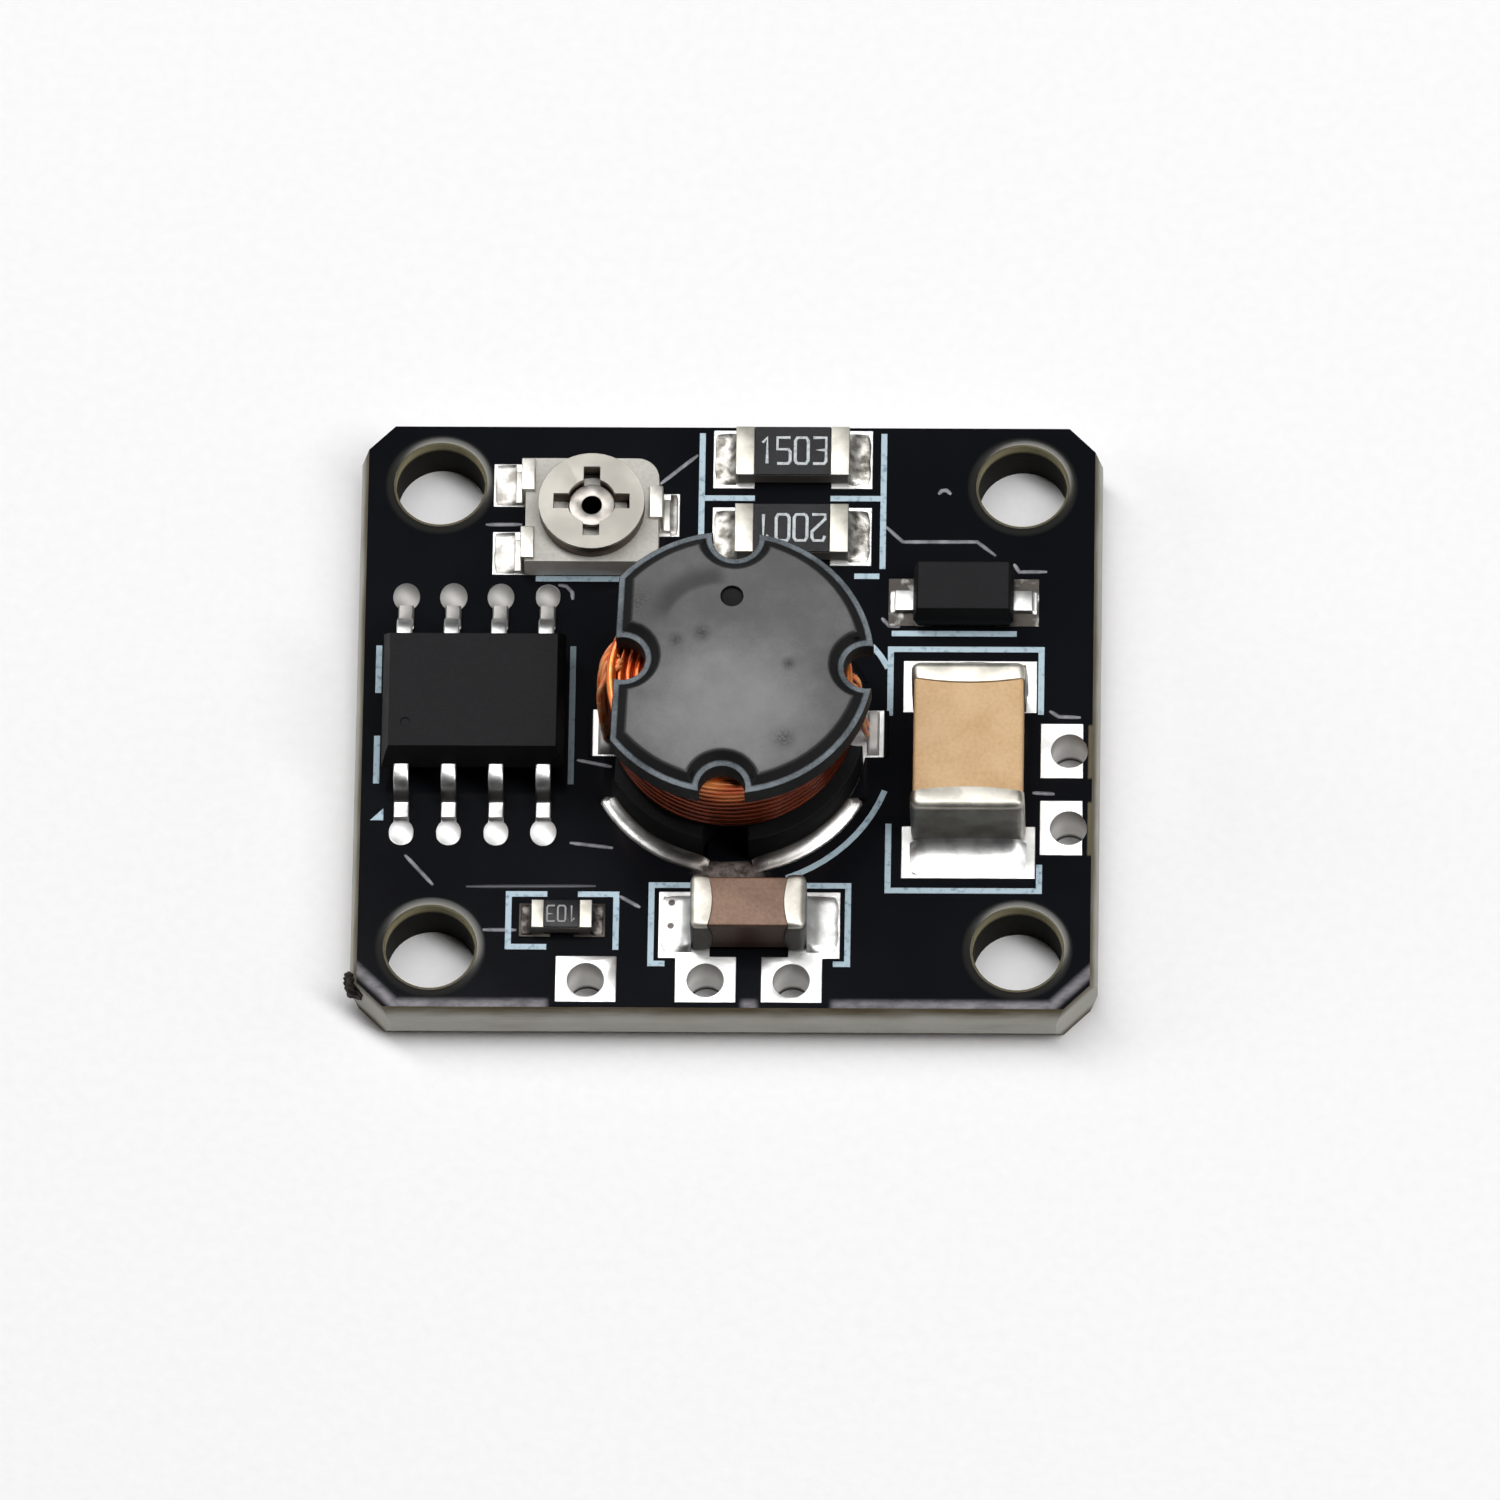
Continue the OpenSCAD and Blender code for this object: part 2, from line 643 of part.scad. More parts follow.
module input_frame() {
  gap = 0.2;
  x = in_cap_l / 2 + in_pad_reach + gap;
  far = in_cap_y + in_pad_w / 2 + gap;
  near = wire_pad_far - gap;
  top_dash = 1.1;
  low_dash = 0.3;
  bracket(in_cap_x - x, far, near, top_dash, low_dash);
  bracket(in_cap_x + x, far, near, -top_dash, -low_dash);
}

module chip_marks() {
  gap = 0.16;
  x = chip_w / 2 + gap;
  tick_gap = 0.72;
  for (side = [-1, 1])
    stroke(chip_x - x, side * tick_gap, chip_x - x, side * chip_d / 2);
  stroke(chip_x + x, -chip_d / 2, chip_x + x, chip_d / 2);
  mark = 0.35;
  first_pad = chip_x - (leads_side - 1) / 2 * lead_pitch - chip_pad_w / 2;
  translate([first_pad - gap, -lead_span / 2, board_t])
    linear_extrude(silk_t)
      polygon([[-mark, 0], [0, 0], [0, mark]]);
}

// Printed part of a circle round the inductor
module coil_arc() {
  gap = 0.36;
  r = coil_pad_r + gap;
  arc_from = -70;
  arc_to = -20;
  at(coil_x, coil_y, board_t)
    difference() {
      cylinder(r = r + silk_w / 2, h = silk_t);
      translate([0, 0, -over]) cylinder(r = r - silk_w / 2, h = silk_t + 2 * over);
      rotate(arc_to) translate([0, 2 * r, -over]) block(4 * r, 4 * r, silk_t + 2 * over);
      rotate(arc_from) translate([0, -2 * r, -over]) block(4 * r, 4 * r, silk_t + 2 * over);
    }
}

module silkscreen_lines()
  color([0.8, 0.86, 0.9]) {
    resistor_frame();
    output_frame();
    small_resistor_frame();
    input_frame();
    chip_marks();
    coil_arc();
    part_gap = 0.1;
    diode_line_y = diode_y - diode_w / 2 - part_gap;
    stroke(diode_x - diode_span / 2, diode_line_y, diode_x + diode_l / 2, diode_line_y);
    trim_line_y = trim_y - trim_d / 2 - part_gap;
    stroke(trim_x - rotor_d / 2, trim_line_y, trim_x + rotor_d / 4, trim_line_y);
  }

// One gull-wing lead, from its root out along +X
module chip_lead()
  rotate([90, 0, 0])
    linear_extrude(lead_w, center = true)
      polygon([[chip_d / 2 - lead_root, lead_level - lead_t / 2],
               [lead_bend - lead_t, lead_level - lead_t / 2],
               [lead_heel, 0],
               [lead_span / 2, 0],
               [lead_span / 2, lead_t],
               [lead_heel + lead_t, lead_t],
               [lead_bend, lead_level + lead_t / 2],
               [chip_d / 2 - lead_root, lead_level + lead_t / 2]]);

module chip_body()
  color([0.16, 0.16, 0.17])
    difference() {
      at(chip_x, 0, seat_z + chip_lift) moulded(chip_w, chip_d, chip_h, chip_draft_w, chip_draft_d);
      each_lead() chip_lead();
      at(chip_x - chip_w / 2 + pin_dot_side, pin_dot_end - chip_d / 2, chip_top - pin_dot_depth)
        cylinder(d = pin_dot_d, h = over);
    }

module chip_leads() color([0.8, 0.8, 0.79]) each_lead() chip_lead();

// Rounded bead of solder at the tip of each chip lead
module chip_solder()
  color([0.85, 0.85, 0.84])
    each_lead() {
      bead_a = chip_pad_w / 2 - solder_back;
      bead_r = arc_r(2 * bead_a, bead_h);
      intersection() {
        translate([bead_x, 0, bead_h - bead_r]) sphere(r = bead_r);
        translate([lead_span / 2, -bead_r, 0]) cube([2 * bead_r, 2 * bead_r, bead_h]);
      }
    }

// Notches of a flange: children are the cutter, whose middle lies inside the rim
module each_notch(r) {
  for (turn = [-90, 0, 90])
    rotate(turn)
      translate([r - notch_in, 0, 0])
        children();
  translate([-coil_flat + notch_in, 0, 0]) children();
}

module inductor_core()
  color([0.42, 0.42, 0.43])
    at(coil_x, coil_y)
      rotate(-coil_turn)
        difference() {
          union() {
            cylinder(r = foot_r, h = foot_flange_t);
            cylinder(r = post_r, h = land_z);
            translate([0, 0, top_under_z]) cylinder(r = coil_r, h = land_z - top_under_z);
            translate([0, 0, land_z])
              cylinder(r1 = coil_r - land_w, r2 = coil_r - land_w - rim_bevel, h = rim_rise);
          }
          translate([-coil_flat - coil_r, 0, -over])
            block(2 * coil_r, 2 * coil_r + over, coil_h + 2 * over);
          flat_land = land_w - coil_flat;
          rotate([90, 0, 0])
            linear_extrude(2 * coil_r + over, center = true)
              polygon([[-coil_flat - over, land_z], [flat_land, land_z], [flat_land + rim_bevel, coil_h],
                       [flat_land + rim_bevel, coil_h + over], [-coil_flat - over, coil_h + over]]);
          each_notch(foot_r) translate([0, 0, -over]) cylinder(r = notch_r, h = foot_flange_t + 2 * over);
          each_notch(coil_r) {
            translate([0, 0, top_under_z - over]) cylinder(r = notch_r, h = top_flange_t + 2 * over);
            translate([0, 0, land_z])
              cylinder(r1 = notch_r + land_w, r2 = notch_r + land_w + 2 * rim_bevel, h = 2 * rim_rise);
          }
          translate([0, dimple_y, coil_h - dimple_depth]) cylinder(d = dimple_d, h = over);
        }

// Section of the winding, whose outer face follows the round turns of wire
function winding_section() =
  concat([[post_r + fit, winding_base]],
         [for (i = [0:turns - 1], a = [-75:30:75])
            [winding_r - wire_d / 2 * (1 - cos(a)), winding_base + wire_d * (i + 0.5 + sin(a) / 2)]],
         [[post_r + fit, winding_base + turns * wire_d]]);

module inductor_winding()
  color([0.8, 0.4, 0.16])
    at(coil_x, coil_y)
      rotate_extrude()
        polygon(winding_section());

// Middle of a wire end, from the winding at 0 down to its tab at 1
function wire_end(t, tab_x, bulge, side) =
  [wire_end_x * (1 - t) + tab_x * t + bulge * sin(180 * t),
   side + wire_end_drift * (1 - t) * (1 - t),
   wire_end_z * (1 - t) + (tab_h + fit) * t];

// A round wire along that run, with level ends
module wire_end_tube(tab_x, bulge, side) {
  last = wire_end_rings - 1;
  sides = wire_end_sides;
  points = [for (i = [0:last], j = [0:sides - 1])
              wire_end(i / last, tab_x, bulge, side)
                + wire_d / 2 * [cos(360 * j / sides), sin(360 * j / sides), 0]];
  walls = [for (i = [0:last - 1], j = [0:sides - 1])
             let (k = (j + 1) % sides)
             [i * sides + j, i * sides + k, (i + 1) * sides + k, (i + 1) * sides + j]];
  start = [for (j = [0:sides - 1]) sides - 1 - j];
  end = [for (j = [0:sides - 1]) last * sides + j];
  polyhedron(points, concat(walls, [start, end]));
}

// The wire ends that come down both sides of the core, three on the left and two on the right
module inductor_wire_ends()
  color([0.8, 0.4, 0.16])
    at(coil_x, coil_y) {
      step = wire_d + wire_end_gap;
      for (i = [-1:1])
        mirror([1, 0, 0])
          wire_end_tube(coil_flat + left_tab_w / 2, wire_end_bulge, tab_lift + i * step);
      for (i = [-0.5, 0.5])
        wire_end_tube(foot_r + right_tab_w / 2, 0, i * step);
    }

module inductor_solder()
  color([0.82, 0.82, 0.81])
    at(coil_x, coil_y) {
      difference() {
        rotate_extrude()
          translate([foot_r + fit, 0])
            polygon(solder_slope(coil_pad_r - foot_r - solder_back, coil_solder_h));
        translate([0, 0, -over]) block(2 * coil_pad_r + over, 2 * (crescent_from + solder_back), coil_h);
        translate([0, 0, -over]) block(coil_pad_gap + 2 * solder_back, 2 * coil_pad_r + over, coil_h);
      }
      coil_tabs()
        translate([fit, 0, 0])
          intersection() {
            tab_r = arc_r($tab_w - 4 * fit, tab_h - fit);
            translate([0, 0, tab_h - tab_r])
              rotate([90, 0, 0])
                cylinder(r = tab_r, h = tab_l - 2 * solder_back, center = true);
            block($tab_w - 2 * fit, tab_l, tab_h + over);
          }
    }

// Places the three trimmer terminals: children point out along +X from the middle of the base,
// $reach is the length of pad beyond the terminal's foot, and $drift how far the pad lies out of line
module each_trim_terminal()
  at(trim_x, trim_y) {
    for (side = [-1, 1])
      translate([0, side * trim_term_pitch / 2, 0])
        rotate(180)
          let ($reach = end_pad_reach, $drift = -trim_pad_drift) children();
    translate([0, wiper_shift, 0])
      let ($reach = wiper_pad_reach, $drift = trim_pad_drift / 2) children();
  }

module trimmer_base()
  color([0.85, 0.83, 0.78])
    at(trim_x, trim_y)
      difference() {
        block(trim_w, trim_d, trim_base_h);
        translate([0, 0, -over]) cylinder(d = eyelet_shank_d + 2 * fit, h = trim_base_h + 2 * over);
        translate([trim_w / 2 - trim_corner, trim_d / 2 - trim_corner, -over])
          difference() {
            cube([2 * trim_corner, 2 * trim_corner, trim_base_h + 2 * over]);
            translate([0, 0, -over]) cylinder(r = trim_corner, h = trim_base_h + 4 * over);
          }
      }

// Horseshoe of resistance film, open towards the two end terminals
module trimmer_track()
  color([0.1, 0.09, 0.08])
    at(trim_x, trim_y, seat_z + track_z)
      difference() {
        cylinder(r = track_out_r, h = track_t);
        translate([0, 0, -over]) cylinder(r = track_in_r, h = track_t + 2 * over);
        open = 2 * track_out_r;
        half_open = open * tan(180 - track_half_turn);
        translate([0, 0, -over])
          linear_extrude(track_t + 2 * over)
            polygon([[0, 0], [-open, half_open], [-open, -half_open]]);
      }

// A strip folded over the top of the base, down its side and out along the pad
module trimmer_terminals()
  color([0.8, 0.79, 0.76])
    each_trim_terminal()
      rotate([90, 0, 0])
        linear_extrude(trim_term_w, center = true)
          polygon([[trim_w / 2, 0], [trim_w / 2 + trim_foot, 0], [trim_w / 2 + trim_foot, trim_term_t],
                   [trim_w / 2 + trim_term_t, trim_term_t],
                   [trim_w / 2 + trim_term_t, trim_base_h + trim_term_t],
                   [rotor_d / 2 + tab_clear, trim_base_h + trim_term_t],
                   [rotor_d / 2 + tab_clear, trim_base_h], [trim_w / 2, trim_base_h]]);

module trimmer_eyelet()
  color([0.83, 0.81, 0.77])
    at(trim_x, trim_y)
      difference() {
        union() {
          cylinder(d = eyelet_shank_d, h = head_z + fit);
          translate([0, 0, head_z]) cylinder(d = eyelet_head_d, h = eyelet_head_t);
        }
        translate([0, 0, -over]) cylinder(d = eyelet_bore_d, h = head_z + eyelet_head_t + 2 * over);
      }

// Slotted cup that turns on the eyelet, holds its head and carries the wiper on its underside
module trimmer_rotor()
  color([0.83, 0.81, 0.77])
    at(trim_x, trim_y, seat_z + rotor_z)
      difference() {
        union() {
          cylinder(d = rotor_d, h = rotor_t);
          translate([track_out_r - track_w / 2, 0, fit - rotor_gap]) cylinder(d = wiper_d, h = rotor_gap);
        }
        translate([0, 0, -over]) cylinder(d = eyelet_shank_d + 2 * rotor_gap, h = rotor_t + 2 * over);
        translate([0, 0, rotor_floor]) cylinder(d = rotor_well_d, h = rotor_t);
        for (turn = [0, 90])
          rotate(turn)
            translate([0, 0, -over]) block(slot_span, slot_w, rotor_t + 2 * over);
      }

module trimmer_solder()
  color([0.85, 0.85, 0.84])
    each_trim_terminal()
      translate([trim_w / 2 + trim_foot, $drift, 0])
        rotate([90, 0, 0])
          linear_extrude(trim_pad_w - 2 * solder_back, center = true)
            polygon(solder_slope($reach - solder_back, trim_term_t));

// Ceramic block that fills the plated ends of a capacitor
module cap_block(l, w, h)
  translate([0, 0, plate_t])
    block(l - 2 * plate_t, w - 2 * plate_t, h - 2 * plate_t);

// Plated ends of a capacitor, which reach furthest along the middle of its faces
module cap_bands(l, w, h, band)
  difference() {
    curve_r = arc_r(w, band_curve);
    for (turn = [0, 180])
      rotate(turn)
        intersection() {
          translate([(l - band) / 2, 0, 0]) block(band, w, h);
          translate([l / 2 - band + curve_r, 0, -over])
            cylinder(r = curve_r, h = h + 2 * over, $fn = 96);
        }
    cap_block(l, w, h);
  }

module on_output_cap() at(out_cap_x, out_cap_y) rotate(90) children();

module output_capacitor_body()
  color([0.8, 0.66, 0.48]) on_output_cap() cap_block(out_cap_l, out_cap_w, out_cap_h);

module output_capacitor_terminals()
  color([0.8, 0.8, 0.78]) on_output_cap() cap_bands(out_cap_l, out_cap_w, out_cap_h, out_cap_band);

module output_capacitor_solder()
  color([0.85, 0.85, 0.84]) on_output_cap() end_solder(out_cap_l, out_cap_w, out_cap_h / 3, out_pad_reach);

module on_input_cap() at(in_cap_x, in_cap_y) children();

module input_capacitor_body()
  color([0.56, 0.45, 0.39]) on_input_cap() cap_block(in_cap_l, in_cap_w, in_cap_h);

module input_capacitor_terminals()
  color([0.8, 0.8, 0.78]) on_input_cap() cap_bands(in_cap_l, in_cap_w, in_cap_h, in_cap_band);

module input_capacitor_solder()
  color([0.85, 0.85, 0.84]) on_input_cap() end_solder(in_cap_l, in_cap_w, in_cap_h / 2, in_pad_reach);

// Pale ceramic slab of a resistor
module res_slab(l, w, h)
  color([0.86, 0.85, 0.82])
    translate([0, 0, plate_t])
      block(l - 2 * plate_t, w, h - 2 * plate_t);

// Dark glass over the resistive film, between the two end bands
module res_coat(l, w, h, band)
  color([0.07, 0.07, 0.08])
    translate([0, 0, h - plate_t])
      block(l - 2 * band - 2 * fit, w - 2 * fit, coat_t);

// Plated ends of a resistor, folded over its top and bottom
module res_bands(l, w, h, band)
  color([0.83, 0.83, 0.81])
    difference() {
      for (side = [-1, 1])
        translate([side * (l - band) / 2, 0, 0]) block(band, w, h);
      translate([0, 0, plate_t]) block(l - 2 * plate_t, w + over, h - 2 * plate_t);
    }

module res_solder(l, w, h, reach) color([0.85, 0.85, 0.84]) end_solder(l, w, h, reach);

module upper_resistor_body() at(res_x, upper_y) res_slab(res_l, res_w, res_h);
module upper_resistor_coat() at(res_x, upper_y) res_coat(res_l, res_w, res_h, res_band);
module upper_resistor_terminals() at(res_x, upper_y) res_bands(res_l, res_w, res_h, res_band);
module upper_resistor_solder() at(res_x, upper_y) res_solder(res_l, res_w, res_h, res_pad_reach);

module lower_resistor_body() at(res_x, lower_y) res_slab(res_l, res_w, res_h);
module lower_resistor_coat() at(res_x, lower_y) res_coat(res_l, res_w, res_h, res_band);
module lower_resistor_terminals() at(res_x, lower_y) res_bands(res_l, res_w, res_h, res_band);
module lower_resistor_solder() at(res_x, lower_y) res_solder(res_l, res_w, res_h, res_pad_reach);

module on_small_res() at(small_res_x, small_res_y) children();

module small_resistor_body()
  on_small_res() res_slab(small_res_l, small_res_w, small_res_h);

module small_resistor_coat()
  on_small_res() res_coat(small_res_l, small_res_w, small_res_h, small_res_band);

module small_resistor_terminals()
  on_small_res() res_bands(small_res_l, small_res_w, small_res_h, small_res_band);

module small_resistor_solder()
  on_small_res() res_solder(small_res_l, small_res_w, small_res_h, small_pad_reach);

module diode_leads()
  color([0.8, 0.8, 0.79])
    at(diode_x, diode_y)
      for (side = [-1, 1])
        translate([side * (diode_l + diode_reach - lead_root) / 2, 0, 0])
          block(diode_reach + lead_root, diode_lead_w, diode_lead_t);

module diode_body()
  color([0.15, 0.15, 0.16])
    difference() {
      at(diode_x, diode_y) moulded(diode_l, diode_w, diode_h, diode_draft, diode_draft);
      diode_leads();
    }

module diode_solder()
  color([0.85, 0.85, 0.84])
    at(diode_x, diode_y)
      end_solder(diode_span, diode_lead_w, diode_lead_t, diode_pad_reach);

circuit_board();
component_pads();
silkscreen_lines();
signal_wire_pad();
left_supply_pad();
right_supply_pad();
far_output_pad();
near_output_pad();
chip_body();
chip_leads();
chip_solder();
inductor_core();
inductor_winding();
inductor_wire_ends();
inductor_solder();
trimmer_base();
trimmer_track();
trimmer_terminals();
trimmer_eyelet();
trimmer_rotor();
trimmer_solder();
output_capacitor_body();
output_capacitor_terminals();
output_capacitor_solder();
input_capacitor_body();
input_capacitor_terminals();
input_capacitor_solder();
upper_resistor_body();
upper_resistor_coat();
upper_resistor_terminals();
upper_resistor_solder();
lower_resistor_body();
lower_resistor_coat();
lower_resistor_terminals();
lower_resistor_solder();
small_resistor_body();
small_resistor_coat();
small_resistor_terminals();
small_resistor_solder();
diode_body();
diode_leads();
diode_solder();
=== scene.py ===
# %% [markdown]
# # A small boost converter and its finishes
#
# The real object is a black circuit board, 20 mm long, that raises a low voltage to a high one. It
# carries a wound inductor, a control chip, a trimmer with a turning rotor, two capacitors, three
# resistors and a diode. The packed CAD model gives every piece and its place. This lesson adds what the
# CAD model leaves out: lacquer, solder, enamelled wire, printed marks and the soft edges of moulded and
# plated parts.
#
# The frame is loaded first.

import math
from functools import reduce

import bmesh
import bpy
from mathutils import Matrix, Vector


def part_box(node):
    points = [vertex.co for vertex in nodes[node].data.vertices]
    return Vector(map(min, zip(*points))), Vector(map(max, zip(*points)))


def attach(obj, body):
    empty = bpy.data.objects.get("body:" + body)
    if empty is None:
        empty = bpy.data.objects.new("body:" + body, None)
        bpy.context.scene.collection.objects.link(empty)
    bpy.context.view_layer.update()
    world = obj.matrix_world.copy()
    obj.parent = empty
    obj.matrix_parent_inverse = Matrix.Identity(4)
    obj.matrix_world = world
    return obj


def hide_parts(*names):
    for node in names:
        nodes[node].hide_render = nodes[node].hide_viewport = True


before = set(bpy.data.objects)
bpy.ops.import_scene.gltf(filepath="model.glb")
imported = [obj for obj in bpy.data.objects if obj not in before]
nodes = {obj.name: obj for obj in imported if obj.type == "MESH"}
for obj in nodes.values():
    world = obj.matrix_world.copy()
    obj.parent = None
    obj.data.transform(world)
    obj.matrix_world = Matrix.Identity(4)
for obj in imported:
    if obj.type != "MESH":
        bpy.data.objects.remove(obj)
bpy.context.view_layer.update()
MM = 0.001

# %% [markdown]
# ## Camera
#
# The photograph was taken from far away with a long lens, 64 degrees above the board and a few degrees to
# its right. A camera can be aimed with a Track To constraint, but here the three axes were worked out
# from the board's corners and holes, so they go straight into the camera's matrix.

# %% Camera
LOOK_AT = Vector((-0.1054, -0.0502, 1.6))
CAMERA_RIGHT = Vector((0.99962, 0.01557, -0.02254))
CAMERA_UP = Vector((-0.00422, 0.90059, 0.43465))
CAMERA_BACK = Vector((0.02707, -0.43439, 0.90032))
SHIFT_RIGHT, SHIFT_UP, DISTANCE = 0.706, -0.866, 677.8
LENS, SENSOR = 606, 36


def put(name, data):
    """A new object, linked into the scene."""
    thing = bpy.data.objects.new(name, data)
    bpy.context.scene.collection.objects.link(thing)
    return thing


camera = put("camera", bpy.data.cameras.new("camera"))
camera.data.sensor_width = SENSOR
camera.data.lens = LENS
stand = LOOK_AT + SHIFT_RIGHT * CAMERA_RIGHT + SHIFT_UP * CAMERA_UP + DISTANCE * CAMERA_BACK
for row in range(3):
    camera.matrix_world[row] = (CAMERA_RIGHT[row], CAMERA_UP[row], CAMERA_BACK[row], stand[row] * MM)
bpy.context.scene.camera = camera
bpy.context.scene.view_settings.view_transform = "Standard"
print("camera stands at", [round(value) for value in stand], "mm")

# %% [markdown]
# ## Sums on sockets
#
# Materials and Geometry Nodes are both trees of nodes. Writing a tree out link by link hides what it
# works out, so one small class wraps a socket: sums written on it add Math nodes, and `node` adds any
# other node. The same class serves the shader trees and the geometry trees of this lesson.

# %% A socket that can be added, multiplied and compared
def colour(red, green, blue):
    """A colour as an image program shows it, from 0 to 255, in linear light."""
    parts = [part / 255 for part in (red, green, blue)]
    linear = [part / 12.92 if part <= 0.04045 else ((part + 0.055) / 1.055) ** 2.4 for part in parts]
    return (*linear, 1)


def sums(operation, turned=False):
    """A method that adds one Math node; turned puts the socket second."""
    def apply(self, other=0.0):
        return self.node("ShaderNodeMath", {"operation": operation},
                         {0: other, 1: self} if turned else {0: self, 1: other})

    return apply


class Flow:
    """One socket of a node tree, or a tree that has no socket yet."""

    __add__ = __radd__ = sums("ADD")
    __sub__, __rsub__ = sums("SUBTRACT"), sums("SUBTRACT", turned=True)
    __mul__ = __rmul__ = sums("MULTIPLY")
    __abs__ = sums("ABSOLUTE")
    least, most, above = sums("MINIMUM"), sums("MAXIMUM"), sums("GREATER_THAN")

    def __init__(self, tree, socket=None):
        self.tree = tree
        self.socket = socket

    def node(self, kind, settings=None, sockets=None, out=0):
        """A new node: its settings come first, then its sockets get values or links."""
        made = self.tree.nodes.new(kind)
        for name, setting in (settings or {}).items():
            setattr(made, name, setting)
        for key, value in (sockets or {}).items():
            if isinstance(value, Flow):
                self.tree.links.new(value.socket, made.inputs[key])
            else:
                made.inputs[key].default_value = value
        return Flow(self.tree, made.outputs[out] if len(made.outputs) else None)

    def geo(self, kind, settings=None, **sockets):
        """A node of a geometry tree; an underscore stands for the space in a socket's name."""
        return self.node("GeometryNode" + kind, settings,
                         {name.replace("_", " "): value for name, value in sockets.items()})

    def __getitem__(self, name):
        """Another output of the same node."""
        return Flow(self.tree, self.socket.node.outputs[name])

    def between(self, low, high):
        """0 below low, 1 above high, and a smooth step between them; low may be the greater."""
        return self.node("ShaderNodeMapRange", {"interpolation_type": "SMOOTHSTEP"},
                         {"Value": self, "From Min": low, "From Max": high})

    def band(self, low, full, end, high):
        """0 below low, 1 from full to end, and 0 again above high."""
        return self.between(low, full) * self.between(high, end)

    def blend(self, start, end):
        """A colour from start to end as this value goes from 0 to 1; each is a socket or three numbers."""
        start, end = (shade if isinstance(shade, Flow) else colour(*shade) for shade in (start, end))
        return self.node("ShaderNodeMix", {"data_type": "RGBA"}, {0: self, 6: start, 7: end}, out=2)

    def noise(self, scale, detail=2.0, roughness=0.5):
        return self.node("ShaderNodeTexNoise", {},
                         {"Vector": self, "Scale": scale, "Detail": detail, "Roughness": roughness})

    def vector(self, operation, sockets, out=0):
        return self.node("ShaderNodeVectorMath", {"operation": operation}, {0: self, **sockets}, out)

    def stretched(self, x, y, z):
        return self.vector("MULTIPLY", {1: (x, y, z)})

    def away_from(self, x, y, z):
        return self.vector("DISTANCE", {1: (x, y, z)}, out=1)


def strongest(masks):
    """The greatest of several values at each spot."""
    return reduce(Flow.most, masks)


print("sums on a socket:", ", ".join(name for name in vars(Flow) if not name.startswith("_")))

# %% [markdown]
# ## Finishes
#
# Each finish is one material. It works in millimetres on the piece itself, so a stain or a worn patch
# stays where it is when the rotor turns or the camera moves. The tilt of the surface tells tops from
# sides, which saves cutting a piece up only to paint it.

# %% A material under construction
SOFT_BORDER = 0.1


class Finish:
    """A material under construction: `place` is the spot on the piece in millimetres."""

    def __init__(self, name, **steady):
        self.material = bpy.data.materials.new(name)
        self.material.use_nodes = True
        tree = self.material.node_tree
        self.shader = tree.nodes["Principled BSDF"]
        for socket, value in steady.items():
            self.shader.inputs[socket.replace("_", " ")].default_value = value
        spot = Flow(tree).node("ShaderNodeTexCoord", out="Object")
        self.place = spot.stretched(1 / MM, 1 / MM, 1 / MM)
        split = self.place.node("ShaderNodeSeparateXYZ", {}, {0: self.place})
        self.x, self.y, self.z = split, split["Y"], split["Z"]
        self.level = self.place.node("ShaderNodeCombineXYZ", {}, {"X": self.x, "Y": self.y})
        self.facing = self.place.node("ShaderNodeSeparateXYZ", {}, {0: spot["Normal"]}, out="Z")
        self.flat = abs(self.facing).between(0.75, 0.95)

    def feed(self, **values):
        for socket, value in values.items():
            self.place.tree.links.new(value.socket, self.shader.inputs[socket.replace("_", " ")])

    def patch(self, mask, shade):
        """Paints another colour over the tone where mask is 1."""
        self.tone = mask.blend(self.tone, shade)
        self.feed(Base_Color=self.tone)

    def nearest(self, spots):
        """The distance in plan to the nearest of some spots."""
        return reduce(Flow.least, [self.level.away_from(*spot, 0) for spot in spots])

    def within(self, middle, half_size):
        """1 inside a rectangle in plan and 0 outside, with a soft border."""
        in_x, in_y = [abs(axis - centre).between(half, half - SOFT_BORDER)
                      for axis, centre, half in zip((self.x, self.y), middle, half_size)]
        return in_x * in_y

    def relief(self, height, depth):
        """Bumps of up to that depth in millimetres, where height goes from 0 to 1."""
        bump = height.node("ShaderNodeBump", {}, {"Height": height, "Distance": depth * MM})
        self.feed(Normal=bump)


print("a finish softens its borders over", SOFT_BORDER, "mm")

# %% [markdown]
# ## Floor and light
#
# The module lies on white paper under one large soft light. A mirror-flat black board shows whatever is
# behind it, and in the photograph that is a dark room, while tin and solder shine white. A light straight
# above does both: rough or rounded metal catches it, the flat lacquer doesn't, and the winding lies in
# the shadow of the core's top flange. Two weak lights at the sides reach the board's edges and the wire
# ends under the flange. The colours are shown as they are, without a film curve.

# %% White paper
PAPER_HALF = 1.5
PAPER_GAP = 0.002

paper_mesh = bpy.data.meshes.new("paper")
paper_mesh.from_pydata([(PAPER_HALF * x, PAPER_HALF * y, -PAPER_GAP * MM)
                        for x, y in ((-1, -1), (1, -1), (1, 1), (-1, 1))], [], [(0, 1, 2, 3)])
paper = put("paper", paper_mesh)

paper_finish = Finish("white_paper", Roughness=0.9, Specular_IOR_Level=0.2)
fibre = paper_finish.place.noise(3, 4)
paper_finish.feed(Base_Color=fibre.blend((243, 242, 243), (250, 249, 250)))
paper_finish.relief(fibre, 0.02)
paper_mesh.materials.append(paper_finish.material)
print("paper", 2 * PAPER_HALF, "m across")

